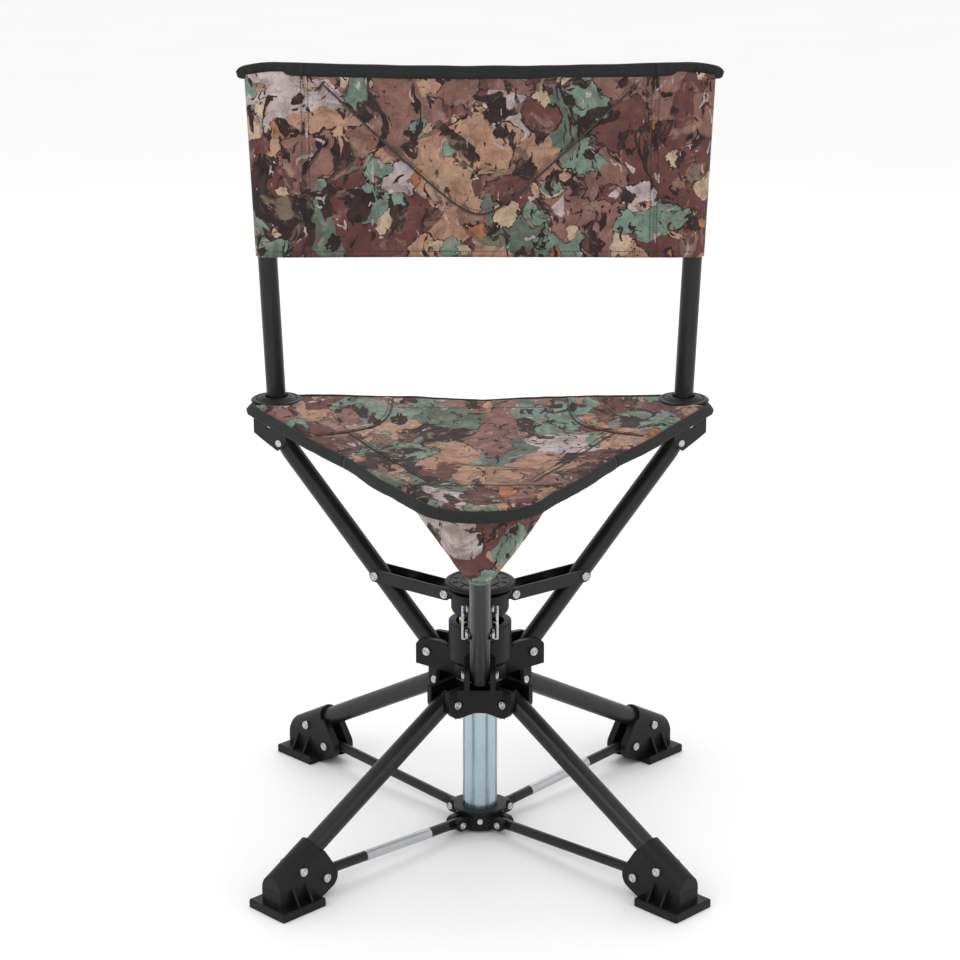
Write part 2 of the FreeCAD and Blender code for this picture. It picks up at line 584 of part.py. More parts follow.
def make_collar():
    r, low, shoulder = size("collar_radius"), size("collar_bottom"), size("collar_shoulder")
    flange, groove = size("flange_radius"), size("groove_radius")
    plug = size("post_diameter") / 2 - size("post_wall") - size("plug_clearance")
    flange_top, top = size("flange_top"), size("cap_top") - size("cap_height")
    foot = size("plug_bottom")
    section = [(0, foot), (plug - 2, foot), (plug, foot + 3)]
    rib, step = 1.2, 5.0
    level = foot + 3 + step
    while level + step < low - 10:
        section += [(plug, level), (plug - rib, level + 1), (plug - rib, level + 2.2), (plug, level + 3.2)]
        level += step
    section += [(plug, low - 7), (groove - 1, low - 6), ("arc", (r - 1.6, low - 2.5), (r, low + 3)),
                (r, shoulder), (flange, shoulder), (flange, flange_top), (groove, flange_top),
                (groove, top), (0, top)]
    turned = revolved_body("collar_body", section)
    parts = [turned]
    holes = []
    lug = size("lug_radius")
    for azimuth in SEAT_AZIMUTHS.values():
        parts.append(box("collar_lug", "<link_hub_radius>-20", "<tube_diameter>", "2*<lug_radius>",
                         (20, 0, link_hub[1] - lug), azimuth))
        parts.append(cross_pin("collar_lug_end", "<lug_radius>", "<tube_diameter>/2", link_hub, azimuth))
        holes.append(cross_pin("collar_hole", "<pin_radius>", "<tube_diameter>", link_hub, azimuth))
    offset = size("guide_offset")
    angle = math.radians(205)
    spot = (offset * math.cos(angle), offset * math.sin(angle))
    holes.append(cylinder("guide_hole", "<guide_radius>", "<tube_diameter>", (spot[0], spot[1], low - 12)))
    node(cut("collar_made", fuse("collar_solid", parts), holes), "collar")
    node(cylinder("guide_pin_made", "<guide_radius>", "<collar_bottom>-12+<tube_diameter>-<guide_bottom>",
                  (spot[0], spot[1], size("guide_bottom"))), "guide_pin")
    cap = cylinder("cap_disc", "<cap_radius>", "<cap_height>", (0, 0, top))
    doc.recompute()
    soft = doc.addObject("Part::Fillet", "cap_disc_eased")
    soft.Base = cap
    soft.Edges = [(i + 1, 1.5, 1.5) for i, edge in enumerate(cap.Shape.Edges)
                  if len(edge.Vertexes) == 1 and edge.BoundBox.ZMin > top + 1]
    node(soft, "collar_cap")
    pins = []
    half = tube_r + size("side_clearance") + size("link_wall")
    for azimuth in SEAT_AZIMUTHS.values():
        pins.append(cross_pin("collar_pin", "<pin_radius>",
                              "<tube_diameter>/2+<side_clearance>+<link_wall>", link_hub, azimuth))
        pins += heads("collar_pin_head", link_hub, half, azimuth, "<head_radius>", "<head_height>-0.4")
    node(fuse("collar_pins_made", pins), "collar_pins")


def make_link(place_name, azimuth):
    h, wall = size("link_half_height"), size("link_wall")
    run = (link_tube[0] - link_hub[0], link_tube[1] - link_hub[1])
    length = math.hypot(*run)
    way = (run[0] / length, run[1] / length)
    side = (-way[1], way[0])
    stadium = [
        along(link_hub, side, h), ("arc", along(link_hub, way, -h), along(link_hub, side, -h)),
        along(link_tube, side, -h), ("arc", along(link_tube, way, h), along(link_tube, side, h))]
    inner = gap_half
    parts = [plate("link_flat", stadium, "<link_wall>", lateral) for lateral in (-inner - wall, inner)]
    start, end = 25.0, length - 30.0
    web = [along(along(link_hub, way, start), side, -h), along(along(link_hub, way, end), side, -h),
           along(along(link_hub, way, end), side, wall - h), along(along(link_hub, way, start), side, wall - h)]
    parts.append(plate("link_web", web, "<tube_diameter>+2*<side_clearance>+2*<link_wall>", -inner - wall))
    drills = [cross_pin("link_hole", "<pin_radius>+<pin_clearance>", "<tube_diameter>", point)
              for point in (link_hub, link_tube)]
    node(cut("link_made", fuse("link_solid", parts), drills), "link_" + place_name, azimuth)
    pin = cross_pin("link_bolt_shank", "<pin_radius>", "<tube_diameter>/2+<side_clearance>+<link_wall>",
                    link_tube)
    half = inner + wall
    node(fuse("link_bolt_made", [pin] + heads("link_bolt_head", link_tube, half, 0, "<head_radius>",
                                              "<head_height>-0.4")), "link_bolt_" + place_name, azimuth)


def bent_tube_path():
    """The rear seat tube's axis: straight, a short arc, then straight up to the bracket."""
    steep = rad("seat_slope") + rad("bend_angle")
    way = (math.cos(steep), math.sin(steep))
    end = along(upright_pivot, way, -size("tube_end_gap"))
    cross = seat_dir[0] * way[1] - seat_dir[1] * way[0]
    gap = (end[0] - seat_pivot[0], end[1] - seat_pivot[1])
    run = (gap[0] * way[1] - gap[1] * way[0]) / cross
    corner = along(seat_pivot, seat_dir, run)
    back = size("bend_radius") * math.tan(rad("bend_angle") / 2)
    start, finish = along(corner, seat_dir, -back), along(corner, way, back)
    half_angle = rad("seat_slope") + rad("bend_angle") / 2
    bulge = size("bend_radius") * (1 / math.cos(rad("bend_angle") / 2) - 1)
    middle = along(corner, (-math.sin(half_angle), math.cos(half_angle)), bulge)
    return start, middle, finish, end


def swept(points, radius):
    """A round bar along the bent tube's axis, as a plain shape."""
    first, start, middle, finish, end = [Vector(*at(p)) for p in points]
    wire = Part.Wire([Part.LineSegment(first, start).toShape(), Part.Arc(start, middle, finish).toShape(),
                      Part.LineSegment(finish, end).toShape()])
    ring = Part.Wire(Part.Circle(first, (start - first).normalize(), radius).toShape())
    return wire.makePipeShell([ring], True, False)


def make_rear_tube(place_name, azimuth):
    first = along(seat_pivot, seat_dir, -size("tube_tail"))
    points = (first,) + bent_tube_path()
    shape = swept(points, tube_r).cut(swept(points, tube_r - size("tube_wall")))
    for centre, radius in ((link_tube, size("pin_radius")), (bracket_rivet(), size("pin_radius"))):
        drill = Part.makeCylinder(radius, 60, Vector(centre[0], -30, centre[1]), Vector(0, 1, 0))
        shape = shape.cut(drill)
    item = doc.addObject("Part::Feature", "rear_tube")
    item.Shape = shape
    node(item, "seat_tube_" + place_name, azimuth)


def bracket_rivet():
    """The rivet that holds a bracket to its seat tube, a little below the tube's end."""
    steep = rad("seat_slope") + rad("bend_angle")
    return along(upright_pivot, (math.cos(steep), math.sin(steep)), -size("tube_end_gap") - 9.0)


def make_bracket(place_name, azimuth):
    r, z = upright_pivot
    side = [(r - 18, z - 24), (r - 8, z - 32), (r + 14, z - 20), (r + 24, z - 14), (r + 24, z + 8),
            ("arc", (r + 8, z + 12.5), (r - 10, z + 12)), (r - 16, z + 4)]
    wall, inner = size("bracket_wall"), gap_half
    parts = [plate("bracket_side", side, "<bracket_wall>", lateral) for lateral in (-inner - wall, inner)]
    front = [(r + 24 - wall, z - 12), (r + 24, z - 12), (r + 24, z + 8), (r + 24 - wall, z + 8)]
    parts.append(plate("bracket_back", front, "<tube_diameter>+2*<side_clearance>+2*<bracket_wall>",
                       -inner - wall))
    drills = [cross_pin("bracket_hole", "<bolt_radius>", "<tube_diameter>", upright_pivot),
              cross_pin("bracket_rivet_hole", "<pin_radius>", "<tube_diameter>", bracket_rivet())]
    node(cut("bracket_made", fuse("bracket_solid", parts), drills), "bracket_" + place_name, azimuth)
    reach = "<tube_diameter>/2+<side_clearance>+<bracket_wall>"
    bolts = [cross_pin("bracket_bolt", "<bolt_radius>", reach, upright_pivot),
             cross_pin("bracket_rivet", "<pin_radius>", reach, bracket_rivet())]
    bolts += heads("bracket_bolt_head", upright_pivot, inner + wall, 0)
    bolts += heads("bracket_rivet_head", bracket_rivet(), inner + wall, 0,
                   "<head_radius>-1", "<head_height>-1")
    node(fuse("bracket_bolts_made", bolts), "bracket_bolts_" + place_name, azimuth)


def make_upright(place_name, azimuth):
    start = along(upright_pivot, upright_dir, -size("upright_tail"))
    length = (size("upright_top") - start[1]) / upright_dir[1]
    tube("upright_" + place_name, start, upright_dir, length,
         [(upright_pivot, "<bolt_radius>+<pin_clearance>")], azimuth)


def make_front_tube():
    start = along(seat_pivot, seat_dir, -size("tube_tail"))
    length = (size("front_tube_end") - start[0]) / seat_dir[0]
    tube("seat_tube_front", start, seat_dir, length, [(link_tube, "<pin_radius>")], 270)
    end = along(start, seat_dir, length)
    vec = (seat_dir[0], 0, seat_dir[1])
    lid = cylinder("tube_cap_lid", "<tube_diameter>/2", "<head_height>", at(end), vec)
    plug = cylinder("tube_cap_plug", "<tube_diameter>/2-<tube_wall>", "<tube_diameter>/2",
                    at(along(end, seat_dir, -tube_r)), vec)
    node(fuse("tube_cap_made", [lid, plug]), "seat_tube_front_cap", 270)


# ---- soft parts ----


def seat_outline():
    """The seat's rounded triangle, in (x, y), as points and arcs."""
    x, y, rear, front = size("seat_corner_x"), size("seat_corner_y"), size("seat_rear"), size("seat_front")
    in_x = x - 34
    nose_x, nose_y = 62.0, front - 26
    return [(-in_x, rear), ("arc", (-x + 8, rear - 12), (-x + 2, y - 4)), (-nose_x - 8, -nose_y + 20),
            ("arc", (0, -front), (nose_x + 8, -nose_y + 20)), (x - 2, y - 4),
            ("arc", (x - 8, rear - 12), (in_x, rear))]


def sector(azimuth):
    """A wedge of 120 degrees about an azimuth, set back from its neighbours by half the split."""
    reach = 700.0
    spin = turn(azimuth)
    back = size("seat_split") / 2 / math.sin(math.radians(60))
    tip = spin.multVec(Vector(back, 0, 0))
    ends = [tip + spin.multVec(turn(a).multVec(Vector(reach, 0, 0))) for a in (-60, 60)]
    return [(p.x, p.y) for p in [tip] + ends]


def make_seat():
    for place_name, azimuth in SEAT_AZIMUTHS.items():
        whole = slab("seat_whole", seat_outline(), "<seat_thickness>", size("seat_bottom"))
        wedge = slab("seat_wedge", sector(azimuth), "<seat_thickness>*3",
                     size("seat_bottom") - size("seat_thickness"))
        piece = common("seat_piece", whole, wedge)
        if place_name in REAR_SIDES:
            middle = at(along(upright_pivot, upright_dir,
                              (size("seat_bottom") + size("seat_thickness") - upright_pivot[1])))
            hole = cylinder("seat_hole", "<tube_diameter>/2+<grommet_clearance>", "<seat_thickness>*3",
                            (middle[0], 0, size("seat_bottom") - size("seat_thickness")))
            hole.Placement = Placement(Vector(), turn(azimuth)).multiply(hole.Placement)
            piece = cut("seat_pierced", piece, [hole])
            ring = ring_body("grommet_body", "<grommet_radius>",
                             "<tube_diameter>/2+<grommet_clearance>", "<grommet_height>", 0)
            ring.Placement = Placement(
                Vector(middle[0], 0, size("seat_bottom") + size("seat_thickness")), Rotation())
            node(ring, "grommet_" + place_name, azimuth)
        node(piece, "seat_" + place_name)


def make_pocket():
    first = along(seat_pivot, seat_dir, (size("pocket_start") - seat_pivot[0]) / seat_dir[0])
    vec = (seat_dir[0], 0, seat_dir[1])
    cone = doc.addObject("Part::Cone", "pocket_cone")
    bind(cone, "Radius1", "<pocket_tip_radius>")
    bind(cone, "Radius2", "<pocket_mouth_radius>")
    bind(cone, "Height", "<pocket_mouth_radius>*1.6")
    place(cone, at(first), 0, Rotation(Vector(0, 0, 1), Vector(*vec)))
    lid = doc.addObject("Part::Box", "pocket_limit")
    for prop, rule in (("Length", "<seat_front>-14"), ("Width", "<plate_outer>"), ("Height", "<pocket_top>")):
        bind(lid, prop, rule)
    place(lid, (0, -size("plate_outer") / 2, 0))
    trimmed = common("pocket_trimmed", cone, lid)
    bore = cylinder("pocket_bore", "<tube_diameter>/2",
                    "(<front_tube_end>-<seat_pivot_radius>)/cos(<seat_slope>*1deg)+<head_height>",
                    at(seat_pivot), vec)
    lip = cylinder("pocket_bore_lid", "<tube_diameter>/2", "<seat_thickness>", at(first), vec)
    node(cut("pocket_made", trimmed, [bore, lip]), "seat_pocket", 270)


def make_backrest():
    low, top = size("back_bottom"), size("back_top")
    sleeves, bores = [], []
    edges = {}
    for place_name in REAR_SIDES:
        azimuth = SEAT_AZIMUTHS[place_name]
        start = along(upright_pivot, upright_dir, (low - upright_pivot[1]) / upright_dir[1])
        finish = along(upright_pivot, upright_dir, (top - upright_pivot[1]) / upright_dir[1])
        edges[place_name] = [turn(azimuth).multVec(Vector(*at(p))) for p in (start, finish)]
        vec = (upright_dir[0], 0, upright_dir[1])
        sleeve = cylinder("back_sleeve", "<back_sleeve_radius>", "<back_top>-<back_bottom>", at(start), vec)
        bore = cylinder("back_bore", "<tube_diameter>/2+<back_bore_gap>",
                        "<upright_top>-<back_bottom>+3", at(along(start, upright_dir, -2)), vec)
        for item in (sleeve, bore):
            item.Placement = Placement(Vector(), turn(azimuth)).multiply(item.Placement)
        sleeves.append(sleeve)
        bores.append(bore)
    half = size("back_thickness") / 2
    corners = [edges["left"][0], edges["right"][0], edges["right"][1], edges["left"][1]]
    front = Part.makePolygon([c + Vector(0, -half, 0) for c in corners + corners[:1]])
    panel = doc.addObject("Part::Feature", "back_panel")
    panel.Shape = Part.Face(front).extrude(Vector(0, 2 * half, 0))
    node(cut("backrest_made", fuse("backrest_solid", sleeves + [panel]), bores), "backrest")


# ---- latch ----


def make_latch():
    y, z = lever_distance, size("lever_pivot_height")
    foot, head, top = size("lever_foot_half"), size("lever_head_half"), size("lever_top")
    face = [(-foot, z - 4), (foot, z - 4), (foot, z + 12), (head, z + 20), (head, top - 3),
            ("arc", (head - 1, top - 1), (head - 3, top)), (3 - head, top),
            ("arc", (1 - head, top - 1), (-head, top - 3)), (-head, z + 20), (-foot, z + 12)]
    sketch = outline_sketch("lever_outline", face, UPRIGHT_PLANE, (0, 0, 0))
    lever = doc.addObject("Part::Extrusion", "lever_plate")
    lever.Base, lever.DirMode, lever.Dir, lever.Solid = sketch, "Custom", Vector(0, -1, 0), True
    bind(lever, "LengthFwd", "<lever_thickness>")
    lever.Placement = Placement(Vector(0, -y + size("lever_thickness") / 2, 0), Rotation())
    across = "2*<bail_half>"
    start = -size("bail_half")
    pin_hole = cylinder("lever_hole", "<bail_wire>+<pin_clearance>", across, (start, -y, z), (1, 0, 0))
    bail_hole = cylinder("lever_bail_hole", "<bail_wire>+<pin_clearance>", across,
                         (start, -y, size("bail_height")), (1, 0, 0))
    node(cut("lever_made", lever, [pin_hole, bail_hole]), "latch_lever")
    node(lever_pin("lever_pin_made"), "latch_pin")
    x, low, high = size("bail_half"), size("bail_height"), size("bail_top")
    wires = [cylinder("bail_cross", "<bail_wire>", across, (-x, -y, low), (1, 0, 0))]
    for side in (-1, 1):
        wires.append(cylinder("bail_leg", "<bail_wire>", "<bail_top>-<bail_height>", (side * x, -y, low)))
        wires.append(cylinder("bail_hook", "<bail_wire>", "<bail_wire>*2.2", (side * x, -y, high),
                              (0, 1, 0)))
        for level in (low, high):
            joint = doc.addObject("Part::Sphere", "bail_corner")
            bind(joint, "Radius", "<bail_wire>")
            wires.append(place(joint, (side * x, -y, level)))
    node(fuse("bail_made", wires), "latch_bail")


def check_and_export():
    """Stop on any failed object or empty shape, then write one STEP file for each sub-part."""
    doc.recompute()
    broken = [o.Name for o in doc.Objects if "Invalid" in o.State or "Error" in o.State]
    if broken:
        raise ValueError("failed objects: " + ", ".join(broken))
    os.makedirs("parts", exist_ok=True)
    for item in NODES:
        if item.Shape.isNull() or not item.Shape.isValid() or item.Shape.Volume < 1:
            raise ValueError("bad shape: " + item.Label)
    for item in NODES:
        item.Shape.exportStep("parts/" + item.Label + ".step")
    print(len(NODES), "sub-parts")


def main():
    make_base()
    make_spider()
    for place_name, azimuth in LEG_AZIMUTHS.items():
        make_strut(place_name, azimuth)
        make_leg(place_name, azimuth)
    make_swivel_hub()
    make_collar()
    for place_name, azimuth in SEAT_AZIMUTHS.items():
        make_link(place_name, azimuth)
    for place_name in REAR_SIDES:
        azimuth = SEAT_AZIMUTHS[place_name]
        make_rear_tube(place_name, azimuth)
        make_bracket(place_name, azimuth)
        make_upright(place_name, azimuth)
    make_front_tube()
    make_seat()
    make_pocket()
    make_backrest()
    make_latch()
    check_and_export()


main()
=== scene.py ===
"""Looks of the folding swivel chair, around the CAD frame: cloth, trimmings, bolt faces and materials."""
import json
import math

import bpy
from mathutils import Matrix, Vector, noise


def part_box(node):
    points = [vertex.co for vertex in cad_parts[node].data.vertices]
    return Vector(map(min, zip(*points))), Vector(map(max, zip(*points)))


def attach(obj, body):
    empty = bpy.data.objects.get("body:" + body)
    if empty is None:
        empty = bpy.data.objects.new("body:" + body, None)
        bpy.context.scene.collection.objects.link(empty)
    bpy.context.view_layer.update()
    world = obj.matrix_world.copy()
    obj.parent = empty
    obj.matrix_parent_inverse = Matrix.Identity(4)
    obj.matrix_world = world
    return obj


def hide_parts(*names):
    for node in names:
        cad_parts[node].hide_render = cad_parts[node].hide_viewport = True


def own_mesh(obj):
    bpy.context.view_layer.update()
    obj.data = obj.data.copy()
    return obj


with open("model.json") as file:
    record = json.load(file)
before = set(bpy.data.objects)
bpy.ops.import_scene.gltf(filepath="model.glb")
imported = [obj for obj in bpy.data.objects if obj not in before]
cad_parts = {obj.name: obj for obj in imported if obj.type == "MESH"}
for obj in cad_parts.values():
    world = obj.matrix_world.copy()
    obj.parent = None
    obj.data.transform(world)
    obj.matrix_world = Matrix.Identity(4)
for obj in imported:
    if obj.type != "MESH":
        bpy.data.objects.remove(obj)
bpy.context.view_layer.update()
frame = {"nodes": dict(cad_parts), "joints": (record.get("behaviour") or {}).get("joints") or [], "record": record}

LEG_AZIMUTHS = {"front_left": 225, "front_right": 315, "rear_right": 45, "rear_left": 135}
SEAT_AZIMUTHS = {"front": 270, "right": 30, "left": 150}
JOINT = {j["name"]: j for j in frame["joints"]}

UP, FRONT = Vector((0, 0, 1)), Vector((0, -1, 0))

# sizes of the design, in metres, that the soft parts and bolt faces follow
TUBE_R = 0.011
SLEEVE_R = 0.0132
SHEET_THICK = 0.0022
STITCH_PROUD = 0.0003

# the back band: its edges, the seams beside its sleeves, and its top binding
BACK_BOTTOM, BACK_TOP = 0.637, 0.8415
STITCH_X = 0.194
HEM = 0.0068
BACK_TAPE_WIDE, BACK_TAPE_THICK, END_TAPE_THICK = 0.0150, 0.0075, 0.0080
BINDING_TIP_X = 0.2685
FLAP_HALF, FLAP_LOW = 0.178, 0.6865

# the seat: how far inside its CAD solid it ends, its heights, its binding and its patches
SEAT_EDGE_IN = 0.004
SEAT_REAR_Z, SEAT_FRONT_Z = 0.4705, 0.4685
SEAT_SAG = 0.011
SEAT_TAPE_WIDE, SEAT_TAPE_THICK = 0.0125, 0.0052
PATCH_REACH, PATCH_LIFT, PATCH_EDGE_LIFT = 0.965, 0.0016, 0.0004

# the front pocket: half the angle that its mouth takes, and where the mouth ends behind and in front
POCKET_SPREAD = 20.5
POCKET_BACK, POCKET_REACH = -0.205, 0.978

# where each sector of the seat is held
SEAT_BODIES = {"front": "seat_tube_front", "right": "upright_right", "left": "upright_left"}

# each bolt: its axis's distance from the post and its height, and how far each head is from the middle
LEG_HUB_RIVET = (0.054, 0.168, 0.0196)
SPIDER_PIN = (0.038, 0.013, 0.0110)
FOOT_LEG_BOLT = (0.283, 0.0421, 0.0172)
FOOT_STRUT_BOLT = (0.250, 0.024, 0.0172)
SWIVEL_HUB_BOLT = (0.059, 0.207, 0.0196)
COLLAR_PIN = (0.0385, 0.278, 0.0147)
LINK_BOLT = (0.1307, 0.283, 0.0147)
BRACKET_BOLT = (0.268, 0.444, 0.0166)
HEAD_R, PIN_HEAD_R = 0.005, 0.0042

# ---------------------------------------------------------------- node helpers


class Nodes:
    """A small wrapper that adds and links shader nodes."""

    def __init__(self, name):
        self.mat = bpy.data.materials.new(name)
        self.mat.use_nodes = True
        self.tree = self.mat.node_tree
        self.tree.nodes.clear()
        self.out = self.add("ShaderNodeOutputMaterial")
        self.bsdf = self.add("ShaderNodeBsdfPrincipled")
        self.link(self.bsdf.outputs[0], self.out.inputs[0])

    def add(self, kind, **settings):
        item = self.tree.nodes.new(kind)
        for key, value in settings.items():
            setattr(item, key, value)
        return item

    def link(self, source, target):
        self.tree.links.new(source, target)

    def shader(self, **values):
        for key, value in values.items():
            socket = self.bsdf.inputs[key.replace("_", " ")]
            if hasattr(value, "is_output"):
                self.link(value, socket)
            else:
                socket.default_value = value

    def coords(self, scale=(1, 1, 1), rotation=(0, 0, 0), source=None, offset=(0, 0, 0)):
        point = source or self.add("ShaderNodeTexCoord").outputs["Object"]
        mapping = self.add("ShaderNodeMapping")
        mapping.inputs["Scale"].default_value = scale
        mapping.inputs["Rotation"].default_value = rotation
        mapping.inputs["Location"].default_value = offset
        self.link(point, mapping.inputs[0])
        return mapping.outputs[0]

    def noise(self, scale, detail=3.0, source=None, distortion=0.0, roughness=0.5):
        item = self.add("ShaderNodeTexNoise")
        item.inputs["Scale"].default_value = scale
        item.inputs["Detail"].default_value = detail
        item.inputs["Distortion"].default_value = distortion
        item.inputs["Roughness"].default_value = roughness
        if source is None:
            source = self.add("ShaderNodeTexCoord").outputs["Object"]
        self.link(source, item.inputs["Vector"])
        return item

    def voronoi(self, scale, source, feature="F1"):
        item = self.add("ShaderNodeTexVoronoi", feature=feature)
        item.inputs["Scale"].default_value = scale
        self.link(source, item.inputs["Vector"])
        return item

    def math(self, operation, a, b=None, clamp=False):
        item = self.add("ShaderNodeMath", operation=operation, use_clamp=clamp)
        for socket, value in zip(item.inputs, (a, b)):
            if value is None:
                continue
            if hasattr(value, "is_output"):
                self.link(value, socket)
            else:
                socket.default_value = value
        return item.outputs[0]

    def ramp(self, value, stops, mode="LINEAR"):
        item = self.add("ShaderNodeValToRGB")
        item.color_ramp.interpolation = mode
        points = item.color_ramp.elements
        while len(points) < len(stops):
            points.new(0.5)
        for point, (place, colour) in zip(points, stops):
            point.position = place
            point.color = (*colour, 1) if len(colour) == 3 else colour
        self.link(value, item.inputs[0])
        return item.outputs[0]

    def mix(self, share, a, b, blend="MIX"):
        item = self.add("ShaderNodeMix", data_type="RGBA", blend_type=blend)
        for socket, value in ((item.inputs[0], share), (item.inputs[6], a), (item.inputs[7], b)):
            if hasattr(value, "is_output"):
                self.link(value, socket)
            elif isinstance(value, (int, float)):
                socket.default_value = value
            else:
                socket.default_value = (*value, 1)
        return item.outputs[2]

    def bump(self, height, strength, distance, bevel=0.0):
        item = self.add("ShaderNodeBump")
        item.inputs["Strength"].default_value = strength
        item.inputs["Distance"].default_value = distance
        self.link(height, item.inputs["Height"])
        if bevel:
            edge = self.add("ShaderNodeBevel", samples=4)
            edge.inputs["Radius"].default_value = bevel
            self.link(edge.outputs[0], item.inputs["Normal"])
        self.shader(Normal=item.outputs[0])


def step(n, value, low, high):
    """0 below low, 1 above high."""
    return n.math("DIVIDE", n.math("SUBTRACT", value, low), high - low, clamp=True)


# ---------------------------------------------------------------- materials


def powder_coat():
    n = Nodes("powder_coat")
    peel = n.noise(900, 2).outputs["Fac"]
    cloudy = n.noise(26, 4).outputs["Fac"]
    n.shader(Base_Color=n.ramp(cloudy, [(0.3, (0.004, 0.0045, 0.0045)), (0.75, (0.009, 0.0095, 0.0095))]),
             Roughness=n.ramp(cloudy, [(0.3, (0.30,) * 3), (0.75, (0.42,) * 3)]), Specular_IOR_Level=0.36)
    n.bump(peel, 0.25, 0.0004, 0.0006)
    return n.mat


def black_plastic():
    n = Nodes("black_plastic")
    grain = n.noise(1400, 3).outputs["Fac"]
    scuff = n.noise(40, 6, distortion=0.6).outputs["Fac"]
    n.shader(Base_Color=n.ramp(scuff, [(0.35, (0.0030, 0.0033, 0.0035)), (0.8, (0.0085, 0.009, 0.0092))]),
             Roughness=n.ramp(scuff, [(0.3, (0.40,) * 3), (0.8, (0.54,) * 3)]), Specular_IOR_Level=0.22)
    n.bump(grain, 0.3, 0.0003, 0.0014)
    return n.mat


def zinc_tube():
    n = Nodes("zinc_tube")
    drawn = n.noise(9, 4, source=n.coords((60, 60, 1.2))).outputs["Fac"]
    cloudy = n.noise(30, 3).outputs["Fac"]
    n.shader(Base_Color=n.mix(cloudy, (0.34, 0.44, 0.48), (0.50, 0.62, 0.67)), Metallic=1.0,
             Roughness=n.ramp(drawn, [(0.3, (0.20,) * 3), (0.7, (0.34,) * 3)]))
    n.bump(drawn, 0.12, 0.0002, 0.0004)
    return n.mat


def zinc_fastener():
    n = Nodes("zinc_fastener")
    spangle = n.noise(500, 3).outputs["Fac"]
    n.shader(Base_Color=n.ramp(spangle, [(0.3, (0.34, 0.35, 0.36)), (0.7, (0.62, 0.63, 0.64))]), Metallic=1.0,
             Roughness=n.ramp(spangle, [(0.3, (0.18,) * 3), (0.7, (0.34,) * 3)]))
    n.bump(spangle, 0.2, 0.0002, 0.0003)
    return n.mat


def plain(name, dark, light, roughness, metallic=0.0, scale=300):
    n = Nodes(name)
    grain = n.noise(scale, 3).outputs["Fac"]
    n.shader(Base_Color=n.mix(grain, dark, light), Metallic=metallic,
             Roughness=n.ramp(grain, [(0.3, (roughness - 0.06,) * 3), (0.7, (roughness + 0.06,) * 3)]))
    n.bump(grain, 0.15, 0.0002, 0.0004)
    return n.mat


MAROON, ROSE, PLUM = (0.115, 0.045, 0.040), (0.205, 0.105, 0.085), (0.026, 0.017, 0.018)
SAGE, MOSS = (0.150, 0.212, 0.170), (0.100, 0.135, 0.105)
TAN, ORANGE = (0.355, 0.205, 0.138), (0.35, 0.135, 0.060)
BEIGE, LILAC = (0.44, 0.32, 0.225), (0.40, 0.325, 0.325)


def weave(n, pitch):
    """The height of a plain weave, from crossed waves along the cloth's own axes."""
    heights = []
    for direction in ("X", "Y", "Z"):
        wave = n.add("ShaderNodeTexWave", bands_direction=direction)
        wave.inputs["Scale"].default_value = 0.314 / pitch
        wave.inputs["Distortion"].default_value = 0.6
        wave.inputs["Detail"].default_value = 1.0
        n.link(n.add("ShaderNodeTexCoord").outputs["Object"], wave.inputs["Vector"])
        heights.append(wave.outputs["Fac"])
    return n.math("MAXIMUM", n.math("MAXIMUM", heights[0], heights[1]), heights[2])


def leaf_layer(n, below, coarse, colours, scale, angle, stretch, share, size, seed):
    """Leaf shapes over what is below: stretched cells with lobed edges and a dark outline."""
    lobes = n.noise(scale * 3.2, 3, source=coarse, roughness=0.62).outputs["Color"]
    shift = n.add("ShaderNodeVectorMath", operation="MULTIPLY_ADD")
    n.link(lobes, shift.inputs[0])
    shift.inputs[1].default_value = (0.62 / scale,) * 3
    n.link(coarse, shift.inputs[2])
    turned = n.coords((1, stretch, 1), (0.3, angle, angle), shift.outputs[0], (seed, seed * 0.7, seed * 0.3))
    cells = n.voronoi(scale, turned)
    pick = n.add("ShaderNodeSeparateColor")
    n.link(cells.outputs["Color"], pick.inputs[0])
    chosen = n.math("GREATER_THAN", pick.outputs[1], 1 - share)
    inside = step(n, cells.outputs["Distance"], size + 0.012, size)
    edge = step(n, cells.outputs["Distance"], size + 0.045, size + 0.03)
    steps = [(i / len(colours), colour) for i, colour in enumerate(colours)]
    fill = n.ramp(pick.outputs[0], steps, "CONSTANT")
    outlined = n.mix(n.math("MULTIPLY", chosen, edge), below, (0.018, 0.014, 0.013))
    return n.mix(n.math("MULTIPLY", chosen, inside), outlined, fill)


def tint(n, look, value, low, high, strength, colour):
    """A colour laid over a look, up to strength, where value passes from low to high."""
    return n.mix(n.math("MULTIPLY", step(n, value, low, high), strength), look, colour)


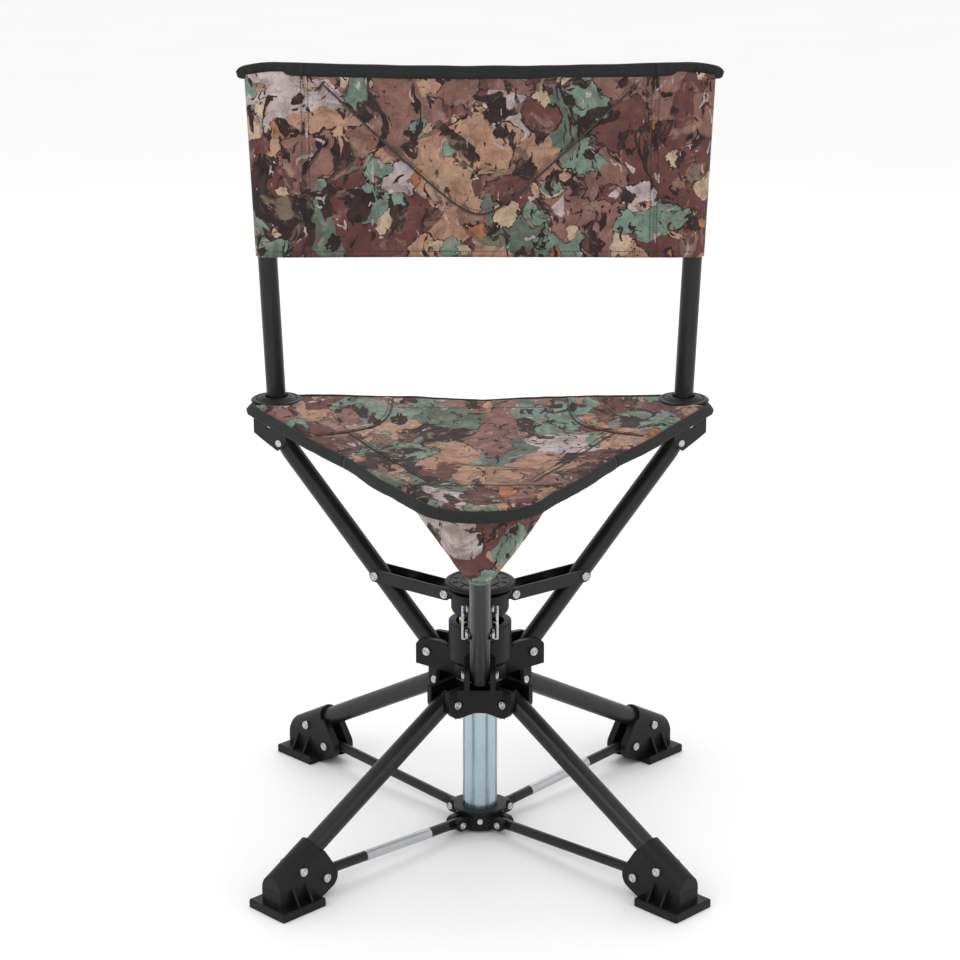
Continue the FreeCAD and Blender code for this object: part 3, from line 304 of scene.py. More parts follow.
def camo_fabric():
    n = Nodes("camo_fabric")
    point = n.coords()
    wander = n.noise(16, 3, source=point).outputs["Color"]
    shift = n.add("ShaderNodeVectorMath", operation="MULTIPLY_ADD")
    n.link(wander, shift.inputs[0])
    shift.inputs[1].default_value = (0.05,) * 3
    n.link(point, shift.inputs[2])
    coarse = shift.outputs[0]
    cells = n.voronoi(15, coarse)
    pick = n.add("ShaderNodeSeparateColor")
    n.link(cells.outputs["Color"], pick.inputs[0])
    ground = n.ramp(pick.outputs[0], [(0.0, MAROON), (0.16, ROSE), (0.30, SAGE), (0.44, MAROON), (0.54, TAN),
                                      (0.70, LILAC), (0.78, ROSE), (0.88, PLUM), (0.93, MOSS)], "CONSTANT")
    look = leaf_layer(n, ground, coarse, [ROSE, SAGE, MAROON, TAN, MAROON], 12, 0.7, 0.42, 0.62, 0.40, 3.1)
    look = leaf_layer(n, look, coarse, [TAN, SAGE, ROSE, LILAC, MAROON], 17, 2.1, 0.36, 0.55, 0.36, 7.7)
    look = leaf_layer(n, look, coarse, [SAGE, MAROON, BEIGE, PLUM, ROSE], 25, 1.3, 0.40, 0.46, 0.34, 12.9)
    look = leaf_layer(n, look, coarse, [TAN, PLUM, ORANGE, SAGE, BEIGE], 40, 0.2, 0.36, 0.40, 0.33, 21.3)
    bark = n.noise(34, 4, source=n.coords((1, 0.6, 0.5), (0.2, 0.5, 0.3), coarse), distortion=1.5)
    splash = step(n, bark.outputs["Fac"], 0.585, 0.60)
    look = n.mix(splash, look, PLUM)
    flecks = n.noise(95, 3, source=n.coords((1, 1, 0.5), (0, 0.6, 0), coarse), distortion=0.8)
    look = n.mix(step(n, flecks.outputs["Fac"], 0.665, 0.675), look, LILAC)
    look = n.mix(step(n, flecks.outputs["Fac"], 0.345, 0.335), look, PLUM)
    wash = n.noise(60, 7, roughness=0.68).outputs["Fac"]
    toned = n.mix(1.0, look, n.ramp(wash, [(0.25, (0.55,) * 3), (0.78, (1.42,) * 3)]), "MULTIPLY")
    stain = n.noise(22, 5, source=n.coords((1, 1, 1), (0.4, 0.1, 0.9), coarse), distortion=2.2, roughness=0.6)
    toned = tint(n, toned, stain.outputs["Fac"], 0.50, 0.60, 0.42, (0.075, 0.038, 0.034))
    bloom = n.noise(31, 5, source=n.coords((1, 1, 1), (0.9, 0.7, 0.2), coarse), distortion=1.6,
                    roughness=0.62)
    toned = tint(n, toned, bloom.outputs["Fac"], 0.56, 0.66, 0.34, (0.40, 0.30, 0.21))
    veins = n.voronoi(70, coarse, "DISTANCE_TO_EDGE").outputs["Distance"]
    toned = tint(n, toned, veins, 0.035, 0.0, 0.35, (0.05, 0.035, 0.03))
    threads = weave(n, 0.0011)
    # the weave's height also tints the colour: painted shade in its hollows and a painted highlight on its raised
    # threads
    toned = n.mix(1.0, toned, n.ramp(threads, [(0.0, (0.90,) * 3), (1.0, (1.05,) * 3)]), "MULTIPLY")
    n.shader(Base_Color=toned, Roughness=0.84, Specular_IOR_Level=0.2,
             Sheen_Weight=0.03, Sheen_Roughness=0.5)
    n.bump(threads, 0.35, 0.0003)
    return n.mat


def binding_tape():
    n = Nodes("binding_tape")
    ribs = weave(n, 0.0016)
    cloudy = n.noise(60, 4).outputs["Fac"]
    tone = n.mix(cloudy, (0.006, 0.007, 0.0065), (0.014, 0.016, 0.015))
    # the raised ribs are painted lighter: painted highlight on the rib tops
    n.shader(Base_Color=n.mix(n.math("MULTIPLY", ribs, 0.5), tone, (0.030, 0.034, 0.031)), Roughness=0.85,
             Specular_IOR_Level=0.2, Sheen_Weight=0.04, Sheen_Roughness=0.4)
    n.bump(ribs, 0.6, 0.0005)
    return n.mat


def thread():
    n = Nodes("thread")
    twist = n.noise(1500, 2).outputs["Fac"]
    n.shader(Base_Color=n.mix(twist, (0.012, 0.010, 0.011), (0.060, 0.045, 0.045)), Roughness=0.7)
    n.bump(twist, 0.3, 0.0002)
    return n.mat


MATERIALS = {
    "powder_coat": powder_coat(), "black_plastic": black_plastic(), "zinc_tube": zinc_tube(),
    "zinc_fastener": zinc_fastener(), "camo_fabric": camo_fabric(), "binding": binding_tape(),
    "thread": thread(),
    "washer_plastic": plain("washer_plastic", (0.66, 0.66, 0.62), (0.78, 0.78, 0.75), 0.5),
    "cream_plastic": plain("cream_plastic", (0.58, 0.50, 0.36), (0.70, 0.63, 0.48), 0.45),
    "brass": plain("brass", (0.70, 0.45, 0.14), (0.85, 0.60, 0.22), 0.28, 1.0),
    "foil_band": plain("foil_band", (0.42, 0.43, 0.45), (0.56, 0.57, 0.59), 0.36, 0.55, 120),
}


def finish_cad_nodes():
    slots = {s["node"]: s["material_slot"] for s in frame["record"]["subparts"]}
    for name, item in frame["nodes"].items():
        item.data.materials.clear()
        item.data.materials.append(MATERIALS[slots[name]])


# ---------------------------------------------------------------- mesh helpers


def circle(count):
    """Evenly spaced angles, once round."""
    return [2 * math.pi * k / count for k in range(count)]


def make_piece(name, vertices, faces, material, body, slot):
    mesh = bpy.data.meshes.new(name)
    mesh.from_pydata([tuple(v) for v in vertices], [], faces)
    mesh.validate()
    mesh.update()
    mesh.shade_smooth()
    mesh.materials.append(MATERIALS[material])
    item = bpy.data.objects.new(name, mesh)
    bpy.context.scene.collection.objects.link(item)
    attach(item, body)
    return item


def grid_faces(rows, columns, wrap_rows=False, wrap_columns=False):
    faces = []
    for i in range(rows if wrap_rows else rows - 1):
        for j in range(columns if wrap_columns else columns - 1):
            a, b = i * columns + j, i * columns + (j + 1) % columns
            c, d = ((i + 1) % rows) * columns + (j + 1) % columns, ((i + 1) % rows) * columns + j
            faces.append((a, b, c, d))
    return faces


def closed_grid(top, rows, columns, drop):
    """A sheet with thickness: a grid, its copy moved by drop, and a rim."""
    count = len(top)
    faces = grid_faces(rows, columns)
    faces += [tuple(count + k for k in reversed(face)) for face in faces]
    rim = (list(range(columns)) + [i * columns + columns - 1 for i in range(1, rows)]
           + [(rows - 1) * columns + j for j in range(columns - 2, -1, -1)]
           + [i * columns for i in range(rows - 2, 0, -1)])
    for a, b in zip(rim, rim[1:] + rim[:1]):
        faces.append((b, a, count + a, count + b))
    return top + [p + drop for p in top], faces


def loft(rings):
    """A closed mesh through rings of points, with both ends capped."""
    count = len(rings[0])
    vertices = [p for ring in rings for p in ring]
    faces = grid_faces(len(rings), count, wrap_columns=True)
    faces.append(tuple(reversed(range(count))))
    faces.append(tuple(range(len(vertices) - count, len(vertices))))
    return vertices, faces


def merge(parts):
    vertices, faces = [], []
    for more_vertices, more_faces in parts:
        base = len(vertices)
        vertices += more_vertices
        faces += [tuple(base + i for i in face) for face in more_faces]
    return vertices, faces


def frames_along(path, up):
    """(point, side, up) at each point of a path."""
    out = []
    for i, point in enumerate(path):
        forward = (path[min(i + 1, len(path) - 1)] - path[max(i - 1, 0)]).normalized()
        lift = up(i) if callable(up) else up
        side = forward.cross(lift).normalized()
        out.append((point, side, side.cross(forward).normalized()))
    return out


def tape(path, up, wide, thick, count=16, power=0.6, first=True, last=True):
    """A flattened round bar along a path: wide along up, thick across, with its ends eased or cut."""
    rings = []
    eased = (0.5, 0.82, 0.95)
    for i, (point, side, lift) in enumerate(frames_along(path, up)):
        near = min(i if first else len(eased), len(path) - 1 - i if last else len(eased))
        ease = eased[near] if near < len(eased) else 1.0
        ring = []
        for angle in circle(count):
            c, s = math.cos(angle), math.sin(angle)
            across = math.copysign(abs(c) ** power, c) * thick / 2 * ease
            along_up = math.copysign(abs(s) ** power, s) * wide / 2 * ease
            ring.append(point + side * across + lift * along_up)
        rings.append(ring)
    return loft(rings)


def stitches(path, normal, pitch=0.0033, length=0.0022, radius=0.00045):
    """Short raised threads along a path that lies on the cloth."""
    parts = []
    run = 0.0
    spots = []
    for a, b in zip(path, path[1:]):
        gap = (b - a).length
        while run < gap:
            spots.append((a.lerp(b, run / gap), (b - a).normalized()))
            run += pitch
        run -= gap
    for spot, forward in spots:
        out = normal(spot) if callable(normal) else normal
        side = forward.cross(out).normalized()
        rings = []
        for along, share in ((-0.5, 0.35), (-0.25, 1.0), (0.25, 1.0), (0.5, 0.35)):
            centre = spot + forward * along * length + out * radius * 0.4
            rings.append([centre + side * math.cos(t) * radius * share + out * math.sin(t) * radius * share
                          for t in circle(6)])
        parts.append(loft(rings))
    return merge(parts)


def radial(azimuth, radius, height, lateral):
    """A point at an azimuth and a distance from the post, moved sideways by lateral."""
    a = math.radians(azimuth)
    return Vector((radius * math.cos(a) - lateral * math.sin(a), radius * math.sin(a) + lateral * math.cos(a),
                   height))


def lathe(profile, centre, axis, count):
    """A closed turned mesh; profile runs from the rim to the axis as (radius, height along axis)."""
    spin = UP.rotation_difference(axis).to_matrix()
    rings = [[centre + spin @ Vector((r * math.cos(t), r * math.sin(t), z)) for t in circle(count)]
             for r, z in profile]
    return loft(rings)


def turned_ring(profile, base, count):
    """A ring about an upright axis through base; profile is its whole section as (radius, height)."""
    vertices = [base + Vector((r * math.cos(t), r * math.sin(t), z)) for r, z in profile for t in circle(count)]
    return vertices, grid_faces(len(profile), count, wrap_rows=True, wrap_columns=True)


def seam_shade_strip(path, up, wide=0.0013, thick=0.0012):
    """The folded edge of a seam, as a raised strip of dark thread; its darkness is painted shade of the crease
    beside the fold.
    """
    return tape(path, up, wide, thick, 8, first=False, last=False)


# ---------------------------------------------------------------- bolt faces


def bolt_face(centre, axis, r):
    """A domed rivet face of radius r, with a rolled rim and a socket."""
    profile = [(r * 0.98, -0.0006), (r, 0.0002), (r * 0.93, 0.0008), (r * 0.72, 0.0009), (r * 0.66, 0.0003),
               (r * 0.52, 0.0003), (r * 0.47, 0.0009), (r * 0.30, 0.0010), (r * 0.26, 0.0002),
               (r * 0.02, 0.0001)]
    return lathe(profile, centre, axis, 20)


def face_pair(azimuth, bolt, size=HEAD_R):
    """The two faces of a bolt that runs across a clevis at this azimuth."""
    radius, height, lateral = bolt
    out = []
    for side in (-1, 1):
        axis = radial(azimuth, 0, 0, side).normalized()
        out.append(bolt_face(radial(azimuth, radius, height, side * lateral), axis, size))
    return out


def make_bolt_faces():
    by_body = {"base": [], "swivel_hub": [], "spider": [], "collar": []}
    for name, azimuth in LEG_AZIMUTHS.items():
        by_body["base"] += face_pair(azimuth, LEG_HUB_RIVET)
        by_body["spider"] += face_pair(azimuth, SPIDER_PIN, PIN_HEAD_R)
        by_body["leg_" + name] = face_pair(azimuth, FOOT_LEG_BOLT) + face_pair(azimuth, FOOT_STRUT_BOLT)
    for name, azimuth in SEAT_AZIMUTHS.items():
        by_body["swivel_hub"] += face_pair(azimuth, SWIVEL_HUB_BOLT)
        by_body["collar"] += face_pair(azimuth, COLLAR_PIN)
        faces = face_pair(azimuth, LINK_BOLT)
        if name != "front":
            faces += face_pair(azimuth, BRACKET_BOLT)
        by_body["seat_tube_" + name] = faces
    for body, parts in by_body.items():
        make_piece("rivet_faces_" + body, *merge(parts), "zinc_fastener", body, "zinc_fastener")


# ---------------------------------------------------------------- back band


def upright_at(side, height):
    """A point of an upright's axis, worked out from its hinge and its top."""
    low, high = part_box("upright_" + side)
    pivot = Vector(JOINT["upright_" + side + "_hinge"]["pos_m"])
    top_x = (high.x - TUBE_R) if side == "right" else (low.x + TUBE_R)
    top = Vector((top_x, pivot.y * top_x / pivot.x, high.z))
    return pivot.lerp(top, (height - pivot.z) / (top.z - pivot.z))


def front_plane(height):
    """Y of the band's front face, which is drawn straight between the fronts of the uprights."""
    return upright_at("left", height).y - SLEEVE_R


def cloth_wave(x, z):
    """Small uneven ripples of a stretched band, in metres."""
    broad = noise.noise(Vector((x * 9, 3.1, z * 16)))
    fine = noise.noise(Vector((x * 34, 8.2, z * 40)))
    return 0.0022 * broad + 0.0009 * fine


def top_line(x):
    """The band's top edge: highest over the sleeves' inner seams and a little lower in the middle."""
    share = min(abs(x) / 0.2, 1.0)
    return BACK_TOP + 0.0035 * share ** 2 - (0.006 * max(0.0, (abs(x) - 0.225) / 0.04) ** 2)


def panel_y(x, z):
    """Y of the band's front between its sleeves: pulled flat, with small ripples that fade at the seams."""
    middle = 1 - min(abs(x) / STITCH_X, 1.0) ** 2
    tension = 0.0035 * middle * (0.6 + 0.4 * math.sin((z - BACK_BOTTOM) / (BACK_TOP - BACK_BOTTOM) * math.pi))
    return front_plane(z) + tension + cloth_wave(x, z) * min(1.0, (STITCH_X - abs(x)) / 0.02)


def back_panel():
    """The band between the sleeves, as a sheet with thickness."""
    columns, rows = 110, 40
    front = []
    for i in range(rows + 1):
        for j in range(columns + 1):
            x = -STITCH_X + 2 * STITCH_X * j / columns
            z = BACK_BOTTOM + (top_line(x) - BACK_BOTTOM) * i / rows
            front.append(Vector((x, panel_y(x, z), z)))
    return closed_grid(front, rows + 1, columns + 1, Vector((0, SHEET_THICK, 0)))


def sleeve_ring(side, z):
    """The sleeve's section: flat at the front from the seam, round the upright, and back to the seam."""
    sign = 1 if side == "right" else -1
    axis = upright_at(side, z)
    front_y = front_plane(z)
    ring = [Vector((sign * STITCH_X, front_y, z))]
    for k in range(1, 7):
        x = STITCH_X + (abs(axis.x) - STITCH_X) * k / 7
        ring.append(Vector((sign * x, front_y + 0.4 * cloth_wave(k, z), z)))
    for k in range(19):
        angle = math.radians(-90 + 200 * k / 18)
        x, y = axis.x + sign * SLEEVE_R * math.cos(angle), axis.y + SLEEVE_R * math.sin(angle)
        ring.append(Vector((x, y, z)))
    around, end = ring[-1], Vector((sign * STITCH_X, front_y + 2 * SHEET_THICK + 0.0002, z))
    ring += [around.lerp(end, k / 8) for k in range(1, 8)] + [end]
    return ring if sign > 0 else list(reversed(ring))


def make_sleeve(side, rows=30, wall=0.0012):
    """A sleeve round an upright: a tube of cloth with an inner wall, open at both ends."""
    rings = []
    for i in range(rows + 1):
        share = i / rows
        ring = sleeve_ring(side, BACK_BOTTOM + (BACK_TOP - BACK_BOTTOM) * share)
        rings.append([Vector((p.x, p.y, p.z + (top_line(p.x) - BACK_TOP) * share)) for p in ring])
    count = len(rings[0])
    vertices = [p for ring in rings for p in ring]
    faces = grid_faces(rows + 1, count, wrap_columns=True)
    inside = []
    for ring in rings:
        middle = sum(ring, Vector()) / count
        axis = upright_at(side, ring[0].z)
        for p in ring:
            near = Vector((axis.x, axis.y, p.z)) if abs(p.x) > abs(axis.x) - SLEEVE_R else middle
            pull = near - p
            pull.z = 0
            inside.append(p + pull.normalized() * min(wall, pull.length * 0.4))
    base = len(vertices)
    faces += [tuple(base + k for k in reversed(face)) for face in faces]
    top, top_in = rows * count, base + rows * count
    faces += [((j + 1) % count, j, base + j, base + (j + 1) % count) for j in range(count)]
    faces += [(top + j, top + (j + 1) % count, top_in + (j + 1) % count, top_in + j) for j in range(count)]
    return vertices + inside, faces


def binding_path(low, high, steps):
    """The top binding's middle line between two values of x, with drooping tips past the sleeves."""
    path = []
    for k in range(steps + 1):
        x = low + (high - low) * k / steps
        beyond = max(0.0, abs(x) - 0.2) / 0.068
        y = front_plane(BACK_TOP) + 0.0015 + 0.0100 * min(1.0, beyond)
        z = top_line(x) + 0.0025 + 0.0006 * noise.noise(Vector((x * 30, 0, 0)))
        path.append(Vector((x, y, z)))
    return path


def flap_line():
    """The pressed V seam across the band's front, round at its lowest point."""
    top, blunt = BACK_TOP - 0.005, 0.15
    out = []
    for k in range(-48, 49):
        t = k / 48
        x = FLAP_HALF * t
        z = FLAP_LOW + (top - FLAP_LOW) * (math.hypot(t, blunt) - blunt) / (math.hypot(1, blunt) - blunt)
        out.append(Vector((x, panel_y(x, z) - 0.0004, z)))
    return out


def flap_panel(rows=18):
    """A second layer of cloth inside the V, a little proud of the band."""
    edge = flap_line()
    top = BACK_TOP - 0.002
    front = []
    for p in edge:
        for i in range(rows + 1):
            z = p.z + (top - p.z) * i / rows
            proud = 0.0024 * min(1.0, 0.25 + i / 2)
            front.append(Vector((p.x, panel_y(p.x, z) - proud, z)))
    vertices, faces = closed_grid(front, len(edge), rows + 1, Vector((0, 0.0028, 0)))
    # this grid runs up before it runs across, so its two walls are turned over
    walls = 2 * (len(edge) - 1) * rows
    return vertices, [tuple(reversed(face)) for face in faces[:walls]] + faces[walls:]


def line_up(x, top, steps):
    """A line of stitching up the band at one x, from just over its lower edge."""
    low = BACK_BOTTOM + 0.002
    heights = [low + (top - BACK_BOTTOM) * k / steps for k in range(steps + 1)]
    y_at = panel_y if abs(x) < STITCH_X else (lambda _x, z: front_plane(z))
    return [Vector((x, y_at(x, z) - STITCH_PROUD, z)) for z in heights]


def middle_seams():
    """The band's hem, the flap's stitching, a dark strip of painted shade along the flap's folded edge, and the
    stitching inside each sleeve.
    """
    hem_z = BACK_BOTTOM + HEM
    across = [-STITCH_X + 2 * STITCH_X * k / 160 for k in range(161)]
    hem = [Vector((x, panel_y(x, hem_z) - STITCH_PROUD, hem_z)) for x in across]
    sewn = [p + Vector((0, -0.0027, 0.0045)) for p in flap_line() if p.z < BACK_TOP - 0.012]
    # a dark strip along the flap's fold: painted shade of its crease
    folded = [p + Vector((0, -0.0006, -0.0004)) for p in flap_line() if p.z < BACK_TOP - 0.006]
    seams = [stitches(hem, FRONT), stitches(sewn, FRONT), seam_shade_strip(folded, UP, 0.0024, 0.0030)]
    for x in (-STITCH_X + 0.004, STITCH_X - 0.004):
        seams.append(stitches(line_up(x, top_line(x) - 0.008, 60), FRONT))
    return merge(seams)


def sleeve_seams(sign):
    """The stitching outside one sleeve's seam, and the sleeve's own hem."""
    hem_z = BACK_BOTTOM + HEM
    hem = [Vector((sign * (STITCH_X + 0.048 * k / 12), front_plane(hem_z) - 0.0004, hem_z)) for k in range(13)]
    column = line_up(sign * (STITCH_X + 0.0035), BACK_TOP - 0.006, 60)
    return merge([stitches(column, FRONT), stitches(hem, FRONT)])


def make_backrest():
    panel = make_piece("back_panel", *back_panel(), "camo_fabric", "upright_left", "camo_fabric")
    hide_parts("backrest")
    flap = make_piece("back_flap", *flap_panel(), "camo_fabric", "upright_left", "camo_fabric")
    middle = tape(binding_path(-STITCH_X, STITCH_X, 70), UP, BACK_TAPE_WIDE, BACK_TAPE_THICK, first=False,
                  last=False)
    binding = make_piece("back_binding_middle", *middle, "binding", "upright_left", "camo_fabric")
    # this piece holds the stitches and the dark strip of painted shade along the flap's fold
    seams = make_piece("back_stitches_and_shade_middle", *middle_seams(), "thread", "upright_left", "camo_fabric")
    for item in (panel, flap, binding, seams):
        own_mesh(item)
    for side, sign in (("left", -1), ("right", 1)):
        body = "upright_" + side
        make_piece("back_sleeve_" + side, *make_sleeve(side), "camo_fabric", body, "camo_fabric")
        path = binding_path(sign * STITCH_X, sign * BINDING_TIP_X, 22)
        if sign < 0:
            path.reverse()
        end = tape(path, UP, BACK_TAPE_WIDE, END_TAPE_THICK, first=sign < 0, last=sign > 0)
        make_piece("back_binding_" + side, *end, "binding", body, "camo_fabric")
        make_piece("back_stitches_" + side, *sleeve_seams(sign), "thread", body, "camo_fabric")


# ---------------------------------------------------------------- seat


def arc_points(a, b, c, count):
    """Points of the circle through three 2-D points, from a to c."""
    ax, ay, bx, by, cx, cy = *a, *b, *c
    d = 2 * (ax * (by - cy) + bx * (cy - ay) + cx * (ay - by))
    ux = ((ax**2 + ay**2) * (by - cy) + (bx**2 + by**2) * (cy - ay) + (cx**2 + cy**2) * (ay - by)) / d
    uy = ((ax**2 + ay**2) * (cx - bx) + (bx**2 + by**2) * (ax - cx) + (cx**2 + cy**2) * (bx - ax)) / d
    radius = math.hypot(ax - ux, ay - uy)
    start, end = math.atan2(ay - uy, ax - ux), math.atan2(cy - uy, cx - ux)
    while end < start:
        end += 2 * math.pi
    return [(ux + radius * math.cos(start + (end - start) * k / count),
             uy + radius * math.sin(start + (end - start) * k / count)) for k in range(count + 1)]


def seat_outline():
    """The seat's rounded triangle, counter-clockwise, a little inside its CAD solid."""
    _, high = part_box("seat_right")
    low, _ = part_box("seat_front")
    x, rear, front = high.x - SEAT_EDGE_IN, high.y - SEAT_EDGE_IN, low.y + SEAT_EDGE_IN
    corner_y = rear - 0.047
    nose_x, nose_y = 0.067, front + 0.047
    right = arc_points((x - 0.001, corner_y), (x - 0.006, rear - 0.014), (x - 0.034, rear), 14)
    left = arc_points((0.034 - x, rear), (0.006 - x, rear - 0.014), (0.001 - x, corner_y), 14)
    nose = arc_points((-nose_x, nose_y), (0, front), (nose_x, nose_y), 18)
    return right + left + nose


OUTLINE = seat_outline()


def edge_radius(angle):
    """How far the seat's edge lies from the post's axis in one direction."""
    dx, dy = math.cos(angle), math.sin(angle)
    best = 0.0
    for (ax, ay), (bx, by) in zip(OUTLINE, OUTLINE[1:] + OUTLINE[:1]):
        ex, ey = bx - ax, by - ay
        cross = dx * ey - dy * ex
        if abs(cross) < 1e-12:
            continue
        t = (ax * ey - ay * ex) / cross
        u = (ax * dy - ay * dx) / cross
        if t > 0 and -1e-6 <= u <= 1 + 1e-6:
            best = max(best, t)
    slack = 0.006 * max(0.0, math.cos(3 * (angle - math.radians(90)))) ** 2
    return best - slack


def seat_height(x, y):
    """Height of the seat's cloth: sagging in the middle, rolled down at the edge and a little rippled."""
    angle = math.atan2(y, x)
    rel = min(1.0, math.hypot(x, y) / edge_radius(angle))
    low, high = -0.27, 0.11
    share = max(0.0, min(1.0, (y - low) / (high - low)))
    base = SEAT_FRONT_Z + (SEAT_REAR_Z - SEAT_FRONT_Z) * share
    mid_edge = 0.5 + 0.5 * math.cos(3 * (angle - math.radians(90)))
    roll = 0.004 * max(0.0, (rel - 0.93) / 0.07) ** 2
    ripple = (0.0011 * noise.noise(Vector((x * 26, y * 26, 0.4)))
              + 0.0006 * noise.noise(Vector((x * 70, y * 70, 2))))
    return base - SEAT_SAG * (1 - rel ** 2.2) - 0.003 * mid_edge * rel ** 2 - roll + ripple


def on_seat(x, y, lift=0.0):
    return Vector((x, y, seat_height(x, y) + lift))


def seat_grid(azimuth, angles=72, rings=44):
    """One sector of the seat, in rings of points from the middle to the edge."""
    top = []
    for i in range(rings + 1):
        for j in range(angles + 1):
            a = math.radians(azimuth - 60 + 120 * j / angles)
            r = edge_radius(a) * i / rings
            top.append(on_seat(r * math.cos(a), r * math.sin(a)) if i else Vector((0, 0, seat_height(1e-5, 0))))
    return closed_grid(top, rings + 1, angles + 1, Vector((0, 0, -SHEET_THICK)))


def edge_path(azimuth, count=60):
    """The seat's edge over one sector."""
    path = []
    for j in range(count + 1):
        a = math.radians(azimuth - 60 + 120 * j / count)
        r = edge_radius(a)
        path.append(on_seat(r * math.cos(a), r * math.sin(a)))
    return path


def edge_up(path):
    """The tape's own up at each point: near upright, leaning outwards a little at the top."""
    def lean(i):
        p = path[i]
        outwards = Vector((p.x, p.y, 0)).normalized()
        share = max(0.0, min(1.0, (0.11 - p.y) / 0.1))
        return (UP * (0.55 + 0.45 * share) - outwards * (0.6 - 0.35 * share)).normalized()
    return lean


def squash_sector(item):
    """One sector's piece gets its own copy of its mesh."""
    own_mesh(item)


def patch(outline, sector, rings=12):
    """A reinforcing patch: a slightly raised piece of cloth, drawn from its middle out to its outline."""
    centre = sum((Vector((x, y, 0)) for x, y in outline), Vector()) / len(outline)
    top = []
    for i in range(rings + 1):
        lift = PATCH_LIFT if i < rings else PATCH_EDGE_LIFT
        for x, y in outline + outline[:1]:
            p = centre.lerp(Vector((x, y, 0)), max(i / rings, 0.001))
            top.append(on_seat(p.x, p.y, lift))
    sheet = closed_grid(top, rings + 1, len(outline) + 1, Vector((0, 0, -SHEET_THICK)))
    item = make_piece("seat_patch_" + sector, *sheet, "camo_fabric", SEAT_BODIES[sector], "camo_fabric")
    squash_sector(item)


def smooth_curve(points, steps):
    """A Catmull-Rom curve through a few 2-D points."""
    out = []
    padded = [points[0]] + points + [points[-1]]
    for k in range(1, len(padded) - 2):
        p0, p1, p2, p3 = [Vector((*p, 0)) for p in padded[k - 1:k + 3]]
        for s in range(steps):
            t = s / steps
            v = 0.5 * (2 * p1 + (p2 - p0) * t + (2 * p0 - 5 * p1 + 4 * p2 - p3) * t * t
                       + (3 * p1 - p0 - 3 * p2 + p3) * t ** 3)
            out.append((v.x, v.y))
    out.append(points[-1])
    return out


def sector_of(x, y):
    """The sector whose middle direction is nearest to a point's."""
    angle = math.degrees(math.atan2(y, x))
    return min(SEAT_AZIMUTHS, key=lambda name: abs((angle - SEAT_AZIMUTHS[name] + 180) % 360 - 180))


def between(start, end, steps=50):
    return [(start[0] + (end[0] - start[0]) * k / steps, start[1] + (end[1] - start[1]) * k / steps)
            for k in range(steps + 1)]


def sew(seams, points, folded=False):
    """Stitches along a line on the seat, and a dark strip of painted shade along its folded edge, split where it
    leaves one sector for the next.
    """
    runs = {}
    previous = None
    for p in points:
        name = sector_of(*p)
        if name != previous:
            runs.setdefault(name, []).append([])
            previous = name
        runs[name][-1].append(on_seat(*p, STITCH_PROUD))
    for name, pieces in runs.items():
        for piece in pieces:
            if len(piece) > 1:
                seams[name].append(stitches(piece, UP))
                if folded:
                    # a dark strip beside the fold: painted shade of its crease
                    seams[name].append(seam_shade_strip([p + Vector((0.0022, 0, 0)) for p in piece], UP))


def edge_patch(seams, sewn, edge):
    """A patch's line of stitches and a dark strip along its raised inner edge, painted shade of the step."""
    name = sector_of(*sewn[len(sewn) // 2])
    seams[name].append(stitches([on_seat(x, y, PATCH_LIFT + 0.0002) for x, y in sewn], UP))
    # a dark strip under the patch's inner edge: painted shade of its step
    seams[name].append(seam_shade_strip([on_seat(x, y, PATCH_LIFT / 2) for x, y in edge], UP, 0.0020, 0.0016))


def make_seat_cloth(name, azimuth):
    """One sector's cloth and the binding round its edge."""
    body = SEAT_BODIES[name]
    cloth = make_piece("seat_cloth_" + name, *seat_grid(azimuth), "camo_fabric", body, "camo_fabric")
    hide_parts("seat_" + name)
    squash_sector(cloth)
    path = edge_path(azimuth)
    lowered = [p + Vector((0, 0, -0.0015)) for p in path]
    rim = tape(lowered, edge_up(path), SEAT_TAPE_WIDE, SEAT_TAPE_THICK, first=False, last=False)
    squash_sector(make_piece("seat_binding_" + name, *rim, "binding", body, "camo_fabric"))


def make_rear_patch(seams, side):
    """The patch of a rear corner: right for side 1, left for -1."""
    corners = [(side * 0.100, 0.148), (side * 0.104, 0.085), (side * 0.128, 0.038), (side * 0.183, -0.008)]
    inner = smooth_curve(corners, 8)
    outer = []
    for degrees in range(-2, 54, 4):
        a = math.radians(degrees)
        r = edge_radius(a if side > 0 else math.pi - a) * PATCH_REACH
        outer.append((side * r * math.cos(a), r * math.sin(a)))
    ring = inner + outer
    if side < 0:
        ring.reverse()
    patch(ring, "right" if side > 0 else "left")
    drawn_in = [(x + side * 0.004, y) for x, y in inner]
    edge_patch(seams, drawn_in[1:-1], inner[1:-1])


def make_front_patch(seams):
    inner = smooth_curve([(-0.088, -0.190), (-0.055, -0.176), (0, -0.170), (0.055, -0.176), (0.088, -0.190)], 8)
    outer = []
    for degrees in range(-62, -117, -4):
        a = math.radians(degrees)
        r = edge_radius(a) * PATCH_REACH
        outer.append((r * math.cos(a), r * math.sin(a)))
    patch(inner + outer, "front")
    edge_patch(seams, [(x, y - 0.004) for x, y in inner], inner)


def make_seat():
    seams = {name: [] for name in SEAT_AZIMUTHS}
    for name, azimuth in SEAT_AZIMUTHS.items():
        make_seat_cloth(name, azimuth)
    for side in (-1, 1):
        make_rear_patch(seams, side)
    make_front_patch(seams)
    for side in (-1, 1):
        for gap in (0.0, 0.007):
            sew(seams, between((side * (0.150 - gap), 0.024), (side * (0.055 - gap), -0.160)), gap == 0.0)
    sew(seams, between((-0.092, 0.114), (0.092, 0.114)))
    for name, parts in seams.items():
        # these pieces hold the stitches and the dark strips of painted shade along folds and patch edges
        item = make_piece("seat_stitches_and_shade_" + name, *merge(parts), "thread", SEAT_BODIES[name], "camo_fabric")
        squash_sector(item)


# ---------------------------------------------------------------- pocket, grommets and cap


